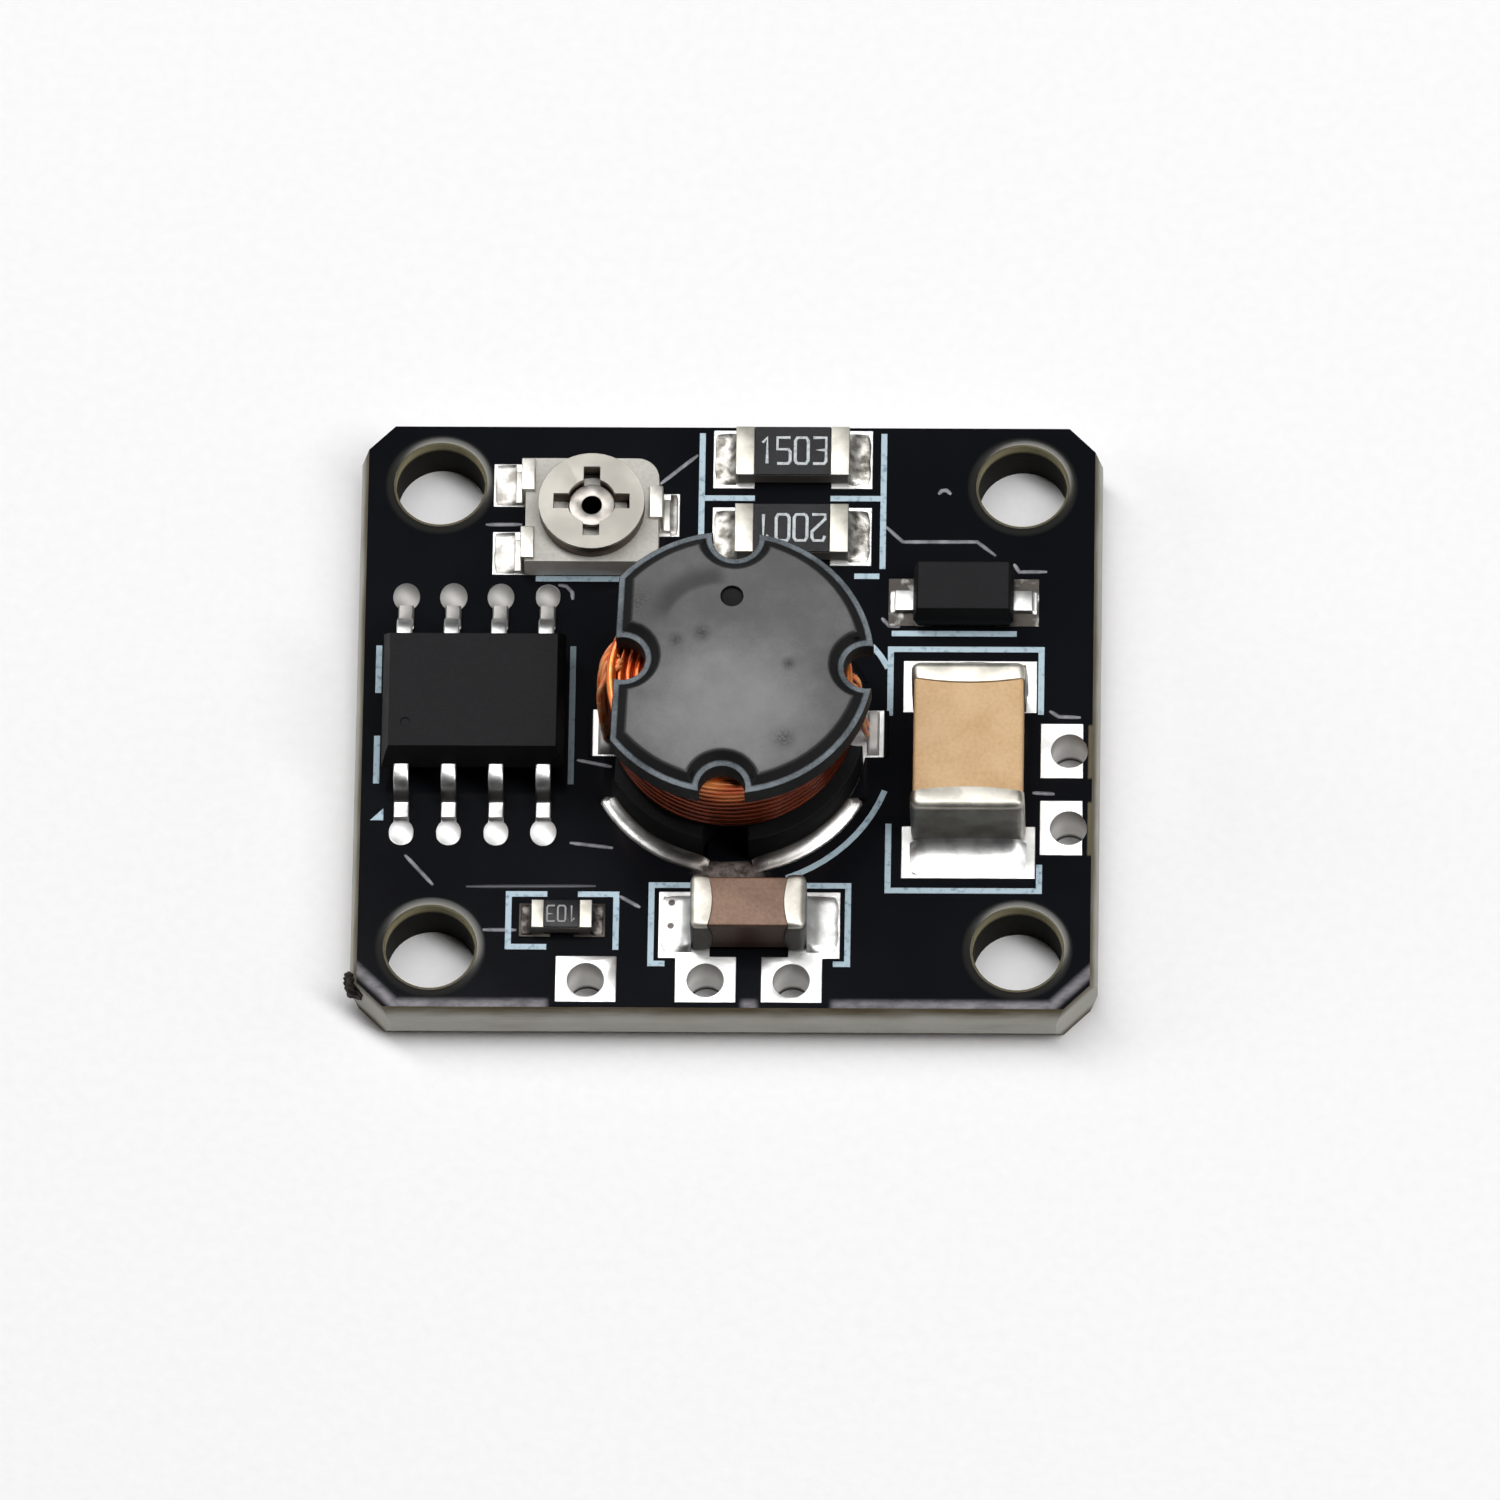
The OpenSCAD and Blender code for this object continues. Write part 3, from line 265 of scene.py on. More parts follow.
# %% Soft lights: place, aim, width and length in metres, then watts
LIGHTS = {
    "overhead": ((0.02, 0.05, 0.35), (0, 0.02, 0), 1.0, 0.1, 2.35),
    "left_side": ((-0.45, 0.05, 0.2), (0, 0, 0), 0.2, 0.2, 0.4),
    "right_side": ((0.45, 0.05, 0.2), (0, 0, 0), 0.2, 0.2, 0.16),
}
ROOM_GREY = colour(200, 203, 208)
ROOM_STRENGTH = 0.025

for name, (place, aim, width, length, watts) in LIGHTS.items():
    light = put(name, bpy.data.lights.new(name, "AREA"))
    light.data.shape = "RECTANGLE"
    light.data.size, light.data.size_y = width, length
    light.data.energy = watts
    light.location = place
    light.rotation_euler = (Vector(aim) - Vector(place)).to_track_quat("-Z", "Y").to_euler()

world = bpy.data.worlds.new("dim_room")
world.use_nodes = True
world.node_tree.nodes["Background"].inputs["Color"].default_value = ROOM_GREY
world.node_tree.nodes["Background"].inputs["Strength"].default_value = ROOM_STRENGTH
bpy.context.scene.world = world
print(len(LIGHTS), "soft lights and a dim room")

# %% [markdown]
# ## The board's lacquer, its cut edges and its plated holes
#
# The board is woven glass in resin. Black lacquer covers its two faces and dips a little towards the
# mounting holes, which were drilled through it. The board's edges were scored and snapped off a larger
# panel, so they show the bare olive-grey layers, and so do the walls of the mounting holes; these walls
# are painted almost black as painted shade, with a pale band of painted light at their mouth. The walls
# of the wire holes are plated, painted darker at the top and paler lower down as painted light, and dark
# at their foot as a painted contact shadow. All of that is one solid in the CAD model, so one material
# sorts it out: the surface's tilt tells faces from edges, and the distance from the nearest hole finds the
# plating, the bare rings and the dips.
#
# The lip of a dip is glossy. A clear coat would be the usual way to show that, but it doesn't follow the
# bumps below it, so the lip is given a dark metal sheen.

# %% Board: where it is plated, bare or dipped
WIRE_HOLES = [(-3.67, -7.86), (-0.47, -7.86), (1.83, -7.86), (9.19, -1.015), (9.19, -3.305)]
MOUNT_HOLES = [(x, y) for x in (-7.85, 7.85) for y in (-6.9, 6.9)]
PLATED_R = 0.56
MOUNT_R = 1.2
RIM_R = 1.25
DIP_R = 1.5
BARE_STRIP = 9.7
BARE_HALF = 0.83

board = Finish("lacquered_board", Specular_IOR_Level=0.12)
to_wire, to_mount = board.nearest(WIRE_HOLES), board.nearest(MOUNT_HOLES)
plated = to_wire.between(PLATED_R, PLATED_R - 0.02) * (1 - board.flat)
bored = to_mount.between(MOUNT_R + 0.06, MOUNT_R + 0.04) * (1 - board.flat)
off_pads = abs(board.y - WIRE_HOLES[3][1]).least(abs(board.y - WIRE_HOLES[4][1]))
strip = board.x.between(BARE_STRIP - 0.02, BARE_STRIP + 0.02) * off_pads.between(BARE_HALF, BARE_HALF - 0.1)
bare = strip.most(to_mount.between(RIM_R + 0.01, RIM_R - 0.01)) * board.flat
cut = (1 - board.flat).most(bare)
on_dip = ((DIP_R - to_mount) * (1 / (DIP_R - MOUNT_R))).most(0).least(1)
lip = on_dip * board.flat * (1 - bare)
print(len(WIRE_HOLES), "wire holes and", len(MOUNT_HOLES), "mounting holes")

# %% [markdown]
# Along the near edge the copper ends just inside the board's outline. The lacquer rises over its end, and
# light catches there in a pale, broken line, which is painted into the lacquer's colour as a painted
# highlight. It follows the edge and the two cut corners, with gaps between the runs.

# %% Board: the painted highlight over the end of the copper
CORNER_CUT = 1.1
DIAGONAL = 0.707
COPPER_RUNS = [(-10.2, -4.7), (0.5, 0.9), (2.9, 10.2)]
RUN_FADE = 0.1
RIDGE_RISE = (0.06, 0.26, 0.28, 0.52)
RIDGE_ENDS = (-6.6, -7.3)

board_low, board_high = (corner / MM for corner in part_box("circuit_board"))
cut_sum = board_low.x + board_low.y + CORNER_CUT
from_edge = (board.y - board_low.y).least((board.x + board.y - cut_sum) * DIAGONAL)
from_edge = from_edge.least((board.y - board.x - (cut_sum - board_low.x - board_high.x)) * DIAGONAL)
on_run = strongest([board.x.band(start - RUN_FADE, start + RUN_FADE, end - RUN_FADE, end + RUN_FADE)
                    for start, end in COPPER_RUNS])
ridge_highlight = from_edge.band(*RIDGE_RISE) * on_run * board.y.between(*RIDGE_ENDS)
print("ridge in", len(COPPER_RUNS), "runs")

# %% Board material
cloud = board.place.noise(0.35, 3)
broken = board.place.stretched(0.5, 1, 1).noise(3.5, 4, 0.65).between(0.25, 0.75)
lacquer = cloud.blend((13, 14, 17), (20, 21, 25))
# The pale, broken line over the copper's end is a painted highlight.
lacquer = (ridge_highlight * (0.35 + 0.6 * broken)).blend(lacquer, (146, 143, 148))
lacquer = lip.blend(lacquer, (76, 75, 71))

layers = board.place.stretched(0.5, 0.5, 9).noise(1.6, 4, 0.7)
stain = board.place.stretched(0.35, 0.35, 1.2).noise(1.5, 3)
# The cut edge is painted paler across its middle and darker towards its top and bottom; the darkening at the
# bottom is painted shade where the edge meets the paper.
middle = board.z.band(0.02, 0.45, 1.1, 1.58)
pale = (0.75 * middle + 0.4 * layers + 0.7 * stain - 0.35).between(0.05, 1.1)
glass = pale.blend((88, 77, 55), (176, 175, 167))
glass = bare.blend(glass, layers.blend((74, 68, 46), (112, 106, 84)))
# The walls of the mounting holes are painted almost black, as painted shade, and pale at the mouth, as
# painted light.
bore_shade_and_mouth_light = board.z.between(1.2, 1.42).blend(layers.blend((12, 11, 8), (26, 23, 17)), (176, 168, 132))
glass = bored.blend(glass, bore_shade_and_mouth_light)

# The plated walls are painted darker at the top and paler lower down, as painted light, with a dark band of
# painted contact shadow at their foot.
lit = board.z.between(1.6, 0.8) * (0.8 + 0.3 * board.place.noise(6))
tin_wall_light_and_shade = lit.blend((190, 187, 184), (252, 251, 249))
tin_wall_light_and_shade = board.z.between(0.32, 0.1).blend(tin_wall_light_and_shade, (74, 70, 68))

board.feed(
    Base_Color=plated.blend(cut.blend(lacquer, glass), tin_wall_light_and_shade),
    Roughness=0.08 + 0.04 * cloud + 0.5 * cut + (0.14 * on_dip).most(0.3 * ridge_highlight),
    Metallic=lip,
)
board.relief(-0.28 * on_dip * on_dip + board.place.noise(7, 2) * (0.003 + 0.1 * cut), 0.1)
print("board material with", len(board.material.node_tree.nodes), "nodes")

# %% [markdown]
# ## Ink
#
# The printed lines are a thin pale blue ink that breaks up a little. The line at the right of the chip is
# worn down until the lacquer shows through.

# %% Ink material
WORN_LINE, WORN_HALF = (-4.1, 0), (0.4, 2.8)


def inked(name, dark, pale, grains, broken, depth):
    """A thin print with that many grains per millimetre, broken up between two values of its noise."""
    finish = Finish(name, Specular_IOR_Level=0.3)
    speck = finish.place.noise(grains, 3, 0.6)
    finish.tone = speck.between(*broken).blend(dark, pale)
    finish.feed(Base_Color=finish.tone, Roughness=0.55 + 0.25 * speck)
    finish.relief(speck, depth)
    return finish


ink = inked("printed_ink", (122, 146, 162), (182, 203, 214), grains=6, broken=(0.25, 0.5), depth=0.006)
ink.patch(0.65 * ink.within(WORN_LINE, WORN_HALF), (34, 38, 42))
print("printed ink")

# %% [markdown]
# ## Tin and solder
#
# The pads are tinned: the tin was melted on and blown level, so it is bright, softly uneven and never
# flat. It is grimy beside the diode, dull at the small resistor and dark where lacquer covers it round
# the inductor. The solder at the joints has flowed more, so it is smoother, with dull frosted patches
# where it cooled slowly. Two small plated holes are painted as dark dots beside the brown capacitor, as
# painted shade down the holes.

# %% Tin and solder materials
DULL_PADS, DULL_HALF = (-4.33, -6.2), (1.4, 0.7)
DIODE_PADS, DIODE_HALF = (6.3, 3.4), (2.3, 0.9)
CORE_GAP, GAP_HALF = (0.15, -4.0), (1.0, 0.9)
COVERED = [(-3.52, -2.4), (-3.52, 0.96), (3.82, -2.4), (3.7, 1.1), (3.4, 1.5)]
TAB_ROW = -0.53
VIAS = [(-1.40, -5.59), (-1.42, -6.27)]


def metal(name, dark, bright, grains, rough, depth):
    """A bare metal whose colour and roughness wander, with that many grains per millimetre."""
    low, high = rough
    finish = Finish(name, Metallic=1.0)
    wander = finish.place.noise(grains, 3)
    fine = finish.place.noise(grains * 9, 2)
    finish.tone = wander.between(0.3, 0.7).blend(dark, bright)
    finish.feed(Base_Color=finish.tone, Roughness=low + (high - low) * wander + 0.06 * fine)
    finish.relief(0.85 * wander + 0.15 * fine, depth)
    return finish


def shade_vias(finish):
    """Paints the two small plated holes dark, as painted shade down the holes."""
    finish.patch(finish.nearest(VIAS).between(0.12, 0.07), (84, 78, 76))


tin = metal("tinned_pad", (214, 214, 212), (242, 242, 240), grains=1.6, rough=(0.34, 0.48), depth=0.02)
tin.patch(tin.within(DIODE_PADS, DIODE_HALF) * tin.place.noise(2.2, 3).between(0.2, 0.45), (74, 70, 66))
tin.patch(tin.within(DULL_PADS, DULL_HALF), (70, 66, 62))
shade_vias(tin)
by_tab = tin.x.between(4.18, 4.22).most(tin.x.between(-3.58, -3.62)) * abs(tin.x).between(4.42, 4.36)
by_tab = by_tab * abs(tin.y - TAB_ROW).between(1.0, 0.9)
under_lacquer = strongest([tin.nearest(COVERED).between(0.32, 0.26), by_tab, tin.within(CORE_GAP, GAP_HALF)])
tin.patch(under_lacquer, (10, 10, 11))

solder = metal("solder", (206, 206, 205), (238, 238, 236), grains=2.0, rough=(0.3, 0.46), depth=0.016)
shade_vias(solder)
bead_solder = metal("bead_solder", (236, 236, 235), (250, 250, 249),
                    grains=2.0, rough=(0.5, 0.6), depth=0.01)
bead_solder.patch(bead_solder.y.between(0, 1), (168, 166, 163))
mottled_solder = metal("mottled_solder", (112, 108, 101), (226, 223, 216),
                       grains=3.5, rough=(0.32, 0.48), depth=0.03)
streaked_solder = metal("streaked_solder", (140, 135, 129), (238, 236, 232),
                        grains=1.8, rough=(0.36, 0.5), depth=0.02)
dull_solder = metal("dull_solder", (52, 48, 46), (122, 116, 112), grains=4.0, rough=(0.34, 0.5), depth=0.03)
print("tin and five kinds of solder")

# %% [markdown]
# ## Leads and plated ends
#
# The leads and the ends of the small parts are plated too. A mirror turned away from the light shows the
# dark room, so the sides are painted darker and the near bends of the chip's leads fade. The far bends
# scatter light more than they mirror it and stay pale, while the feet beyond them are duller.

# %% Lead and end materials
lead_metal = metal("tinned_lead", (206, 206, 205), (232, 232, 230),
                   grains=3.0, rough=(0.3, 0.42), depth=0.008)
on_chip, far_row = lead_metal.x.between(-4, -4.2), lead_metal.y.between(0, 1)
bent = abs(lead_metal.facing).between(0.75, 0.3) * on_chip
lead_metal.patch(bent * (1 - far_row), (104, 102, 100))
lead_metal.patch(far_row * on_chip * lead_metal.z.between(2.1, 1.85), (132, 130, 127))
lead_metal.feed(Metallic=1 - 0.8 * bent * far_row)

end_metal = metal("plated_end", (180, 176, 166), (216, 212, 202), grains=2.0, rough=(0.36, 0.5), depth=0.008)
upright = abs(end_metal.facing).between(0.6, 0.2)
brown_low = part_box("input_capacitor_terminals")[0] / MM
near_face = end_metal.y.between(brown_low.y + 0.3, brown_low.y + 0.1)
near_face = near_face * end_metal.x.between(brown_low.x - 0.3, brown_low.x)
end_metal.patch(0.55 * upright, (96, 94, 90))
end_metal.patch(0.85 * upright * near_face, (40, 38, 36))

trimmer_metal = metal("trimmer_metal", (206, 202, 194), (232, 229, 221),
                      grains=2.4, rough=(0.34, 0.48), depth=0.006)
print("three plated metals")

# %% [markdown]
# ## Moulded plastic
#
# The chip and the diode are moulded in black epoxy full of fine glass. Where the mould was matt, light
# catches the grains and the top looks charcoal; the sides are painted almost black, as painted shade.

# %% Moulded plastic material
plastic = Finish("moulded_plastic", Specular_IOR_Level=0.12)
grain = plastic.place.noise(28, 3, 0.6)
smear = plastic.place.noise(1.3, 2)
top_tone = (0.7 * grain + 0.3 * smear).between(0.25, 0.75).blend((24, 24, 26), (36, 36, 38))
# The sides are painted almost black, as painted shade.
plastic.feed(Base_Color=plastic.flat.blend((9, 9, 10), top_tone), Roughness=0.5 + 0.2 * smear)
plastic.relief(grain, 0.008)
print("moulded plastic")

# %% [markdown]
# ## Ferrite
#
# The core is pressed and sintered iron oxide. Its ground top is grey and matt, rubbed paler towards the
# near notch and stained where it was handled. The bevel and the flanks keep their dark skin. The rounded
# edge of the narrow land round the rim and the notches is painted pale, as a painted highlight. Height and
# tilt tell these apart.

# %% Ferrite material
LAND_DROP = 0.25
DIMPLE, DIMPLE_R = (0.21, 1.12), 0.3
STAINS = [(-1.26, -0.18, 0.34), (-0.57, 0.03, 0.4), (1.76, -0.87, 0.3), (1.66, -3.09, 0.5), (-2.2, 0.9, 0.7)]
SMEAR, SMEAR_R = (-0.15, 0.05), 1.62
RUBBED = (0.1, -2.3)
core_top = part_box("inductor_core")[1].z / MM

ferrite = Finish("ferrite", Specular_IOR_Level=0.2)
mottle = ferrite.place.noise(0.8, 5, 0.58)
pores = ferrite.place.noise(16, 3, 0.6)
ground = ferrite.flat * ferrite.z.between(core_top - 0.08, core_top - 0.04)
above_land = ferrite.z - (core_top - LAND_DROP)
land_highlight_mask = above_land.band(-0.06, -0.02, 0.0, 0.03) * ferrite.facing.between(0.6, 0.98)
land_highlight_mask = land_highlight_mask * ferrite.nearest([DIMPLE]).between(DIMPLE_R, DIMPLE_R + 0.04)

stain = strongest([ferrite.nearest([(x, y)]).between(reach, 0) for x, y, reach in STAINS])
stain = stain * (0.5 * mottle + 0.5 * pores).between(0.36, 0.56)
from_arc = ferrite.nearest([SMEAR]) - SMEAR_R
smear = from_arc.band(-0.3, -0.08, 0.05, 0.6) * mottle.between(0.1, 0.5)
smear = smear * ferrite.x.between(0.2, -0.3) * ferrite.y.between(0.2, 0.9)
rubbed = ferrite.nearest([RUBBED]).between(3.6, 0.4)

paleness = (0.5 * mottle + 0.15 * pores + 0.35 * rubbed).between(0.22, 0.8)
top_grey = paleness.blend((92, 91, 91), (138, 138, 139))
top_grey = (0.8 * stain).most(0.75 * smear).blend(top_grey, (56, 54, 54))
flank = mottle.blend((9, 9, 10), (22, 22, 24))
# The rounded edge of the land is painted pale, as a painted highlight.
land_highlight = (0.7 * mottle + 0.3 * pores).between(0.35, 0.65).blend((72, 78, 82), (126, 134, 140))
ferrite.feed(Base_Color=land_highlight_mask.blend(ground.blend(flank, top_grey), land_highlight), Roughness=0.55 + 0.25 * pores)
ferrite.relief(0.4 * mottle + 0.6 * pores, 0.012)
print("ferrite, top at", round(core_top, 2), "mm")

# %% [markdown]
# ## Enamelled wire
#
# The winding is copper under clear orange enamel. Bare copper would need no coat; the enamel adds a
# second, sharper gloss, and a slow change of tone along the wire keeps the turns from looking like one
# tube. Below the top turns the winding is painted a dark red-brown, as painted shade under the core's
# flange, except at the near notch. The wire ends are painted paler, as painted light.

# %% Enamelled wire materials
CORE_X = 0.15
wind_low, wind_high = (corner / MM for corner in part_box("inductor_winding"))


def enamelled(name, along, scale, rough, **steady):
    """An enamelled wire whose tone changes slowly; along squeezes that change in height."""
    finish = Finish(name, Coat_Weight=0.4, **steady)
    finish.tone = finish.place.stretched(1, 1, along).noise(scale, 3)
    finish.feed(Roughness=rough + 0.2 * finish.tone)
    finish.relief(finish.place.noise(9, 2), 0.006)
    return finish


wire = enamelled("enamelled_wire", along=3, scale=1.0, rough=0.26, Coat_Roughness=0.12)
bright = wire.tone.between(0.3, 0.7).blend((240, 100, 34), (255, 158, 84))
near_notch = wire.place.away_from(CORE_X, wind_low.y, wind_high.z).between(1.3, 0.5)
# Below the top turns the winding is painted darker, as painted shade under the flange.
winding_shade = wire.z.between(wind_high.z - 0.1, wind_high.z - 0.4) * (1 - near_notch)
wire.feed(
    Base_Color=winding_shade.blend(bright, wire.tone.blend((92, 30, 8), (150, 62, 22))),
    Metallic=0.85 - 0.6 * near_notch,
)

end_wire = enamelled("wire_ends", along=2, scale=1.4, rough=0.28, Metallic=0.1, Coat_Roughness=0.15)
# The wire ends are painted paler than the winding, as painted light.
end_wire.feed(Base_Color=end_wire.tone.between(0.3, 0.7).blend((255, 134, 66), (255, 186, 124)))
print("enamelled wire, wound and at the ends")

# %% [markdown]
# ## Ceramics, glass and film
#
# The capacitors are fired ceramic, tan and brown. The resistors are white alumina slabs under a dark
# glass coat. The trimmer's base is pale ceramic, with a black resistance film printed on it. The upright
# sides of three of them are painted: darker on the brown capacitor and the resistor slabs, as painted
# shade, and paler on the trimmer's base, as painted light.

# %% Ceramic, glass and film materials
def fired(name, dark, pale, grains, rough, depth, sides=None, shine=0.4):
    """A fired finish with that many grains per millimetre; sides is a colour painted on its upright faces,
    darker as painted shade or paler as painted light.
    """
    finish = Finish(name, Specular_IOR_Level=shine)
    slow = finish.place.noise(0.9, 3)
    fine = finish.place.noise(grains, 3, 0.6)
    finish.tone = (0.6 * slow + 0.4 * fine).between(0.3, 0.7).blend(dark, pale)
    finish.feed(Base_Color=finish.tone, Roughness=rough + 0.15 * fine)
    finish.relief(fine, depth)
    if sides:
        finish.patch(1 - finish.flat, sides)
    return finish


tan_ceramic = fired("tan_ceramic", (198, 158, 110), (218, 182, 137), grains=9, rough=0.42, depth=0.006)
# The sides below are painted shade on the brown capacitor and the resistor slabs, and painted light on the
# trimmer's base.
brown_ceramic = fired("brown_ceramic", (118, 90, 74), (154, 122, 102),
                      grains=9, rough=0.42, depth=0.006, sides=(62, 44, 34))
white_ceramic = fired("white_ceramic", (206, 203, 196), (230, 228, 222),
                      grains=12, rough=0.5, depth=0.006, sides=(96, 92, 86))
pale_ceramic = fired("pale_ceramic", (180, 176, 168), (206, 203, 196),
                     grains=10, rough=0.5, depth=0.008, sides=(236, 233, 226))
dark_glass = fired("dark_glass", (20, 20, 23), (34, 34, 37), grains=14, rough=0.28, depth=0.005, shine=0.25)
film = fired("resistance_film", (16, 15, 15), (30, 28, 27), grains=14, rough=0.5, depth=0.006)
print("six fired finishes")

# %% [markdown]
# ## The trimmer's rotor and eyelet
#
# The rotor is a pressed metal cup. Its face has been rubbed bright by screwdrivers. Below the face, its
# sides and the slots are painted brown, partly as the brown carrier under the cup and partly as painted
# shade. The eyelet that it turns on is rolled over and bright on its rim; its bore is painted black, as
# painted shade. Height and the distance from the axis tell these apart.

# %% Trimmer materials
TRIMMER_AXIS = (-3.72, 5.725)
rotor_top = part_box("trimmer_rotor")[1].z / MM

rotor = metal("turned_rotor", (149, 145, 138), (174, 170, 162), grains=0.6, rough=(0.38, 0.44), depth=0.003)
# Below its face the sides and the slots are painted brown: partly the brown carrier, partly painted shade.
rotor.patch(rotor.z.between(rotor_top - 0.06, rotor_top - 0.14), (92, 78, 68))
eyelet = metal("rolled_eyelet", (152, 147, 141), (186, 181, 176),
               grains=3.0, rough=(0.34, 0.46), depth=0.006)
# The bore is painted black, as painted shade down the hole.
eyelet.patch(eyelet.nearest([TRIMMER_AXIS]).between(0.3, 0.26) * (1 - eyelet.flat), (16, 13, 12))
print("rotor top at", round(rotor_top, 2), "mm")

# %% [markdown]
# ## Soft edges on the CAD nodes
#
# No moulded or plated edge is a knife edge, and the thin line of light along it is what makes a part look
# solid. The CAD nodes arrive as loose triangles and keep their own mesh. A stack of modifiers welds
# them, joins the triangles of each plane, rounds the edges and evens out the shading. Only the trimmer's
# base keeps its triangles.

# %% Dress the CAD nodes
WELD_GAP = 0.0005
FLAT_ANGLE, EDGE_ANGLE, EDGE_STEPS = 0.5, 35, 3


def dress(name, finish, radius):
    """Gives a CAD node its finish, and edges of that radius in millimetres."""
    node = nodes[name]
    node.data.materials.clear()
    node.data.materials.append(finish.material)
    if not radius:
        return
    node.modifiers.new("weld", "WELD").merge_threshold = WELD_GAP * MM
    if name != "trimmer_base":
        planes = node.modifiers.new("planes", "DECIMATE")
        planes.decimate_type = "DISSOLVE"
        planes.angle_limit = math.radians(FLAT_ANGLE)
    edges = node.modifiers.new("edges", "BEVEL")
    edges.limit_method = "ANGLE"
    edges.angle_limit = math.radians(EDGE_ANGLE)
    edges.width = radius * MM
    edges.segments = EDGE_STEPS
    node.modifiers.new("shading", "WEIGHTED_NORMAL").keep_sharp = False
    for face in node.data.polygons:
        face.use_smooth = True


for finish, radius, names in (
        (board, 0, "circuit_board"), (ink, 0, "silkscreen_lines"), (film, 0, "trimmer_track"),
        (tin, 0.02, "component_pads signal_wire_pad left_supply_pad right_supply_pad "
                    "far_output_pad near_output_pad"),
        (plastic, 0.06, "chip_body diode_body"), (lead_metal, 0.03, "diode_leads"),
        (ferrite, 0.05, "inductor_core"),
        (pale_ceramic, 0.05, "trimmer_base"), (trimmer_metal, 0.03, "trimmer_terminals"),
        (eyelet, 0.03, "trimmer_eyelet"), (rotor, 0.05, "trimmer_rotor"),
        (tan_ceramic, 0.1, "output_capacitor_body"), (brown_ceramic, 0.1, "input_capacitor_body"),
        (white_ceramic, 0.02, "upper_resistor_body lower_resistor_body small_resistor_body"),
        (dark_glass, 0.02, "upper_resistor_coat lower_resistor_coat small_resistor_coat"),
        (end_metal, 0.02, "upper_resistor_terminals lower_resistor_terminals small_resistor_terminals")):
    for name in names.split():
        dress(name, finish, radius)
print(sum(1 for node in nodes.values() if node.data.materials), "CAD nodes with a material")

# %% [markdown]
# ## Pieces made here
#
# Solder, wire and dipped metal have flowing shapes that the CAD model only stands in for. A piece that
# replaces a CAD node takes its place from that node, so it moves along when the part changes. `solids`
# gives the boxes of a node's separate solids, and `settle` hands a finished mesh to the frame.

# %% Measure and settle
SHARP_ANGLE = 50
SAME_SPOT, SLIVER = 0.0001, 0.0004


def corners(points, unit=1.0):
    """The low and the high corner of the box round some points."""
    return [Vector([pick(point[axis] for point in points) / unit for axis in range(3)])
            for pick in (min, max)]


def solids(name):
    """The (low, high) corners in millimetres of every separate solid of a node, in order of place."""
    work = bmesh.new()
    work.from_mesh(nodes[name].data)
    bmesh.ops.remove_doubles(work, verts=work.verts, dist=SAME_SPOT * MM)
    waiting = set(work.verts)
    boxes = []
    while waiting:
        reached = [waiting.pop()]
        for corner in reached:
            for edge in corner.link_edges:
                other = edge.other_vert(corner)
                if other in waiting:
                    waiting.discard(other)
                    reached.append(other)
        boxes.append(corners([corner.co for corner in reached], MM))
    work.free()
    return sorted(boxes, key=lambda box: tuple(round(value, 3) for value in box[0]))


def settle(name, mesh, slot, finish, *stands_for):
    """Puts a finished mesh on the board, in the place of the CAD nodes that it stands for."""
    mesh.name = name
    mesh.materials.clear()
    mesh.materials.append(finish.material)
    for face in mesh.polygons:
        face.use_smooth = True
    mesh.set_sharp_from_angle(angle=math.radians(SHARP_ANGLE))
    thing = put(name, mesh)
    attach(thing, "board")
    if stands_for:
        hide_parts(*stands_for)
    print(name, "with", len(mesh.polygons), "faces")


def close(work):
    """Turns work in millimetres into a mesh in metres with its faces pointing outwards."""
    bmesh.ops.remove_doubles(work, verts=work.verts, dist=WELD_GAP)
    bmesh.ops.dissolve_degenerate(work, edges=work.edges, dist=SLIVER)
    bmesh.ops.recalc_face_normals(work, faces=work.faces)
    bmesh.ops.scale(work, verts=work.verts, vec=(MM, MM, MM))
    mesh = bpy.data.meshes.new("closed")
    work.to_mesh(mesh)
    work.free()
    return mesh


print("chip leads:", len(solids("chip_leads")))

# %% [markdown]
# ## Trees that grow a mesh
#
# Geometry Nodes make what repeats or follows a path. Every tree of this lesson takes a starting mesh and
# a few named sizes, and ends alike: instances become plain faces and get their material. The result is
# copied into a mesh of its own, so that the piece no longer depends on its tree.

# %% Begin, end and run a tree
def new_tree(name, **inputs):
    """A tree with those inputs, by name and kind, and one mesh as its output."""
    tree = bpy.data.node_groups.new(name, "GeometryNodeTree")
    for label, kind in {**inputs, "Finish": "Material"}.items():
        tree.interface.new_socket(label, in_out="INPUT", socket_type="NodeSocket" + kind)
    tree.interface.new_socket("Mesh", in_out="OUTPUT", socket_type="NodeSocketGeometry")
    return tree, Flow(tree).node("NodeGroupInput")


def end_tree(shape, given):
    """Ends a tree: instances become plain faces and get their material."""
    real = shape.geo("RealizeInstances", Geometry=shape)
    painted = real.geo("SetMaterial", Geometry=real, Material=given["Finish"])
    painted.node("NodeGroupOutput", {}, {"Mesh": painted})


def grown(tree, start, finish, **inputs):
    """The plain mesh that a tree makes of a starting mesh."""
    thing = put("seed", start)
    modifier = thing.modifiers.new("grow", "NODES")
    modifier.node_group = tree
    inputs["Finish"] = finish.material
    for item in tree.interface.items_tree:
        if item.name in inputs:
            modifier[item.identifier] = inputs[item.name]
    made = thing.evaluated_get(bpy.context.evaluated_depsgraph_get())
    mesh = bpy.data.meshes.new_from_object(made)
    thing.modifiers.remove(modifier)
    bpy.data.objects.remove(thing)
    return mesh


print("a tree begins, ends and runs")

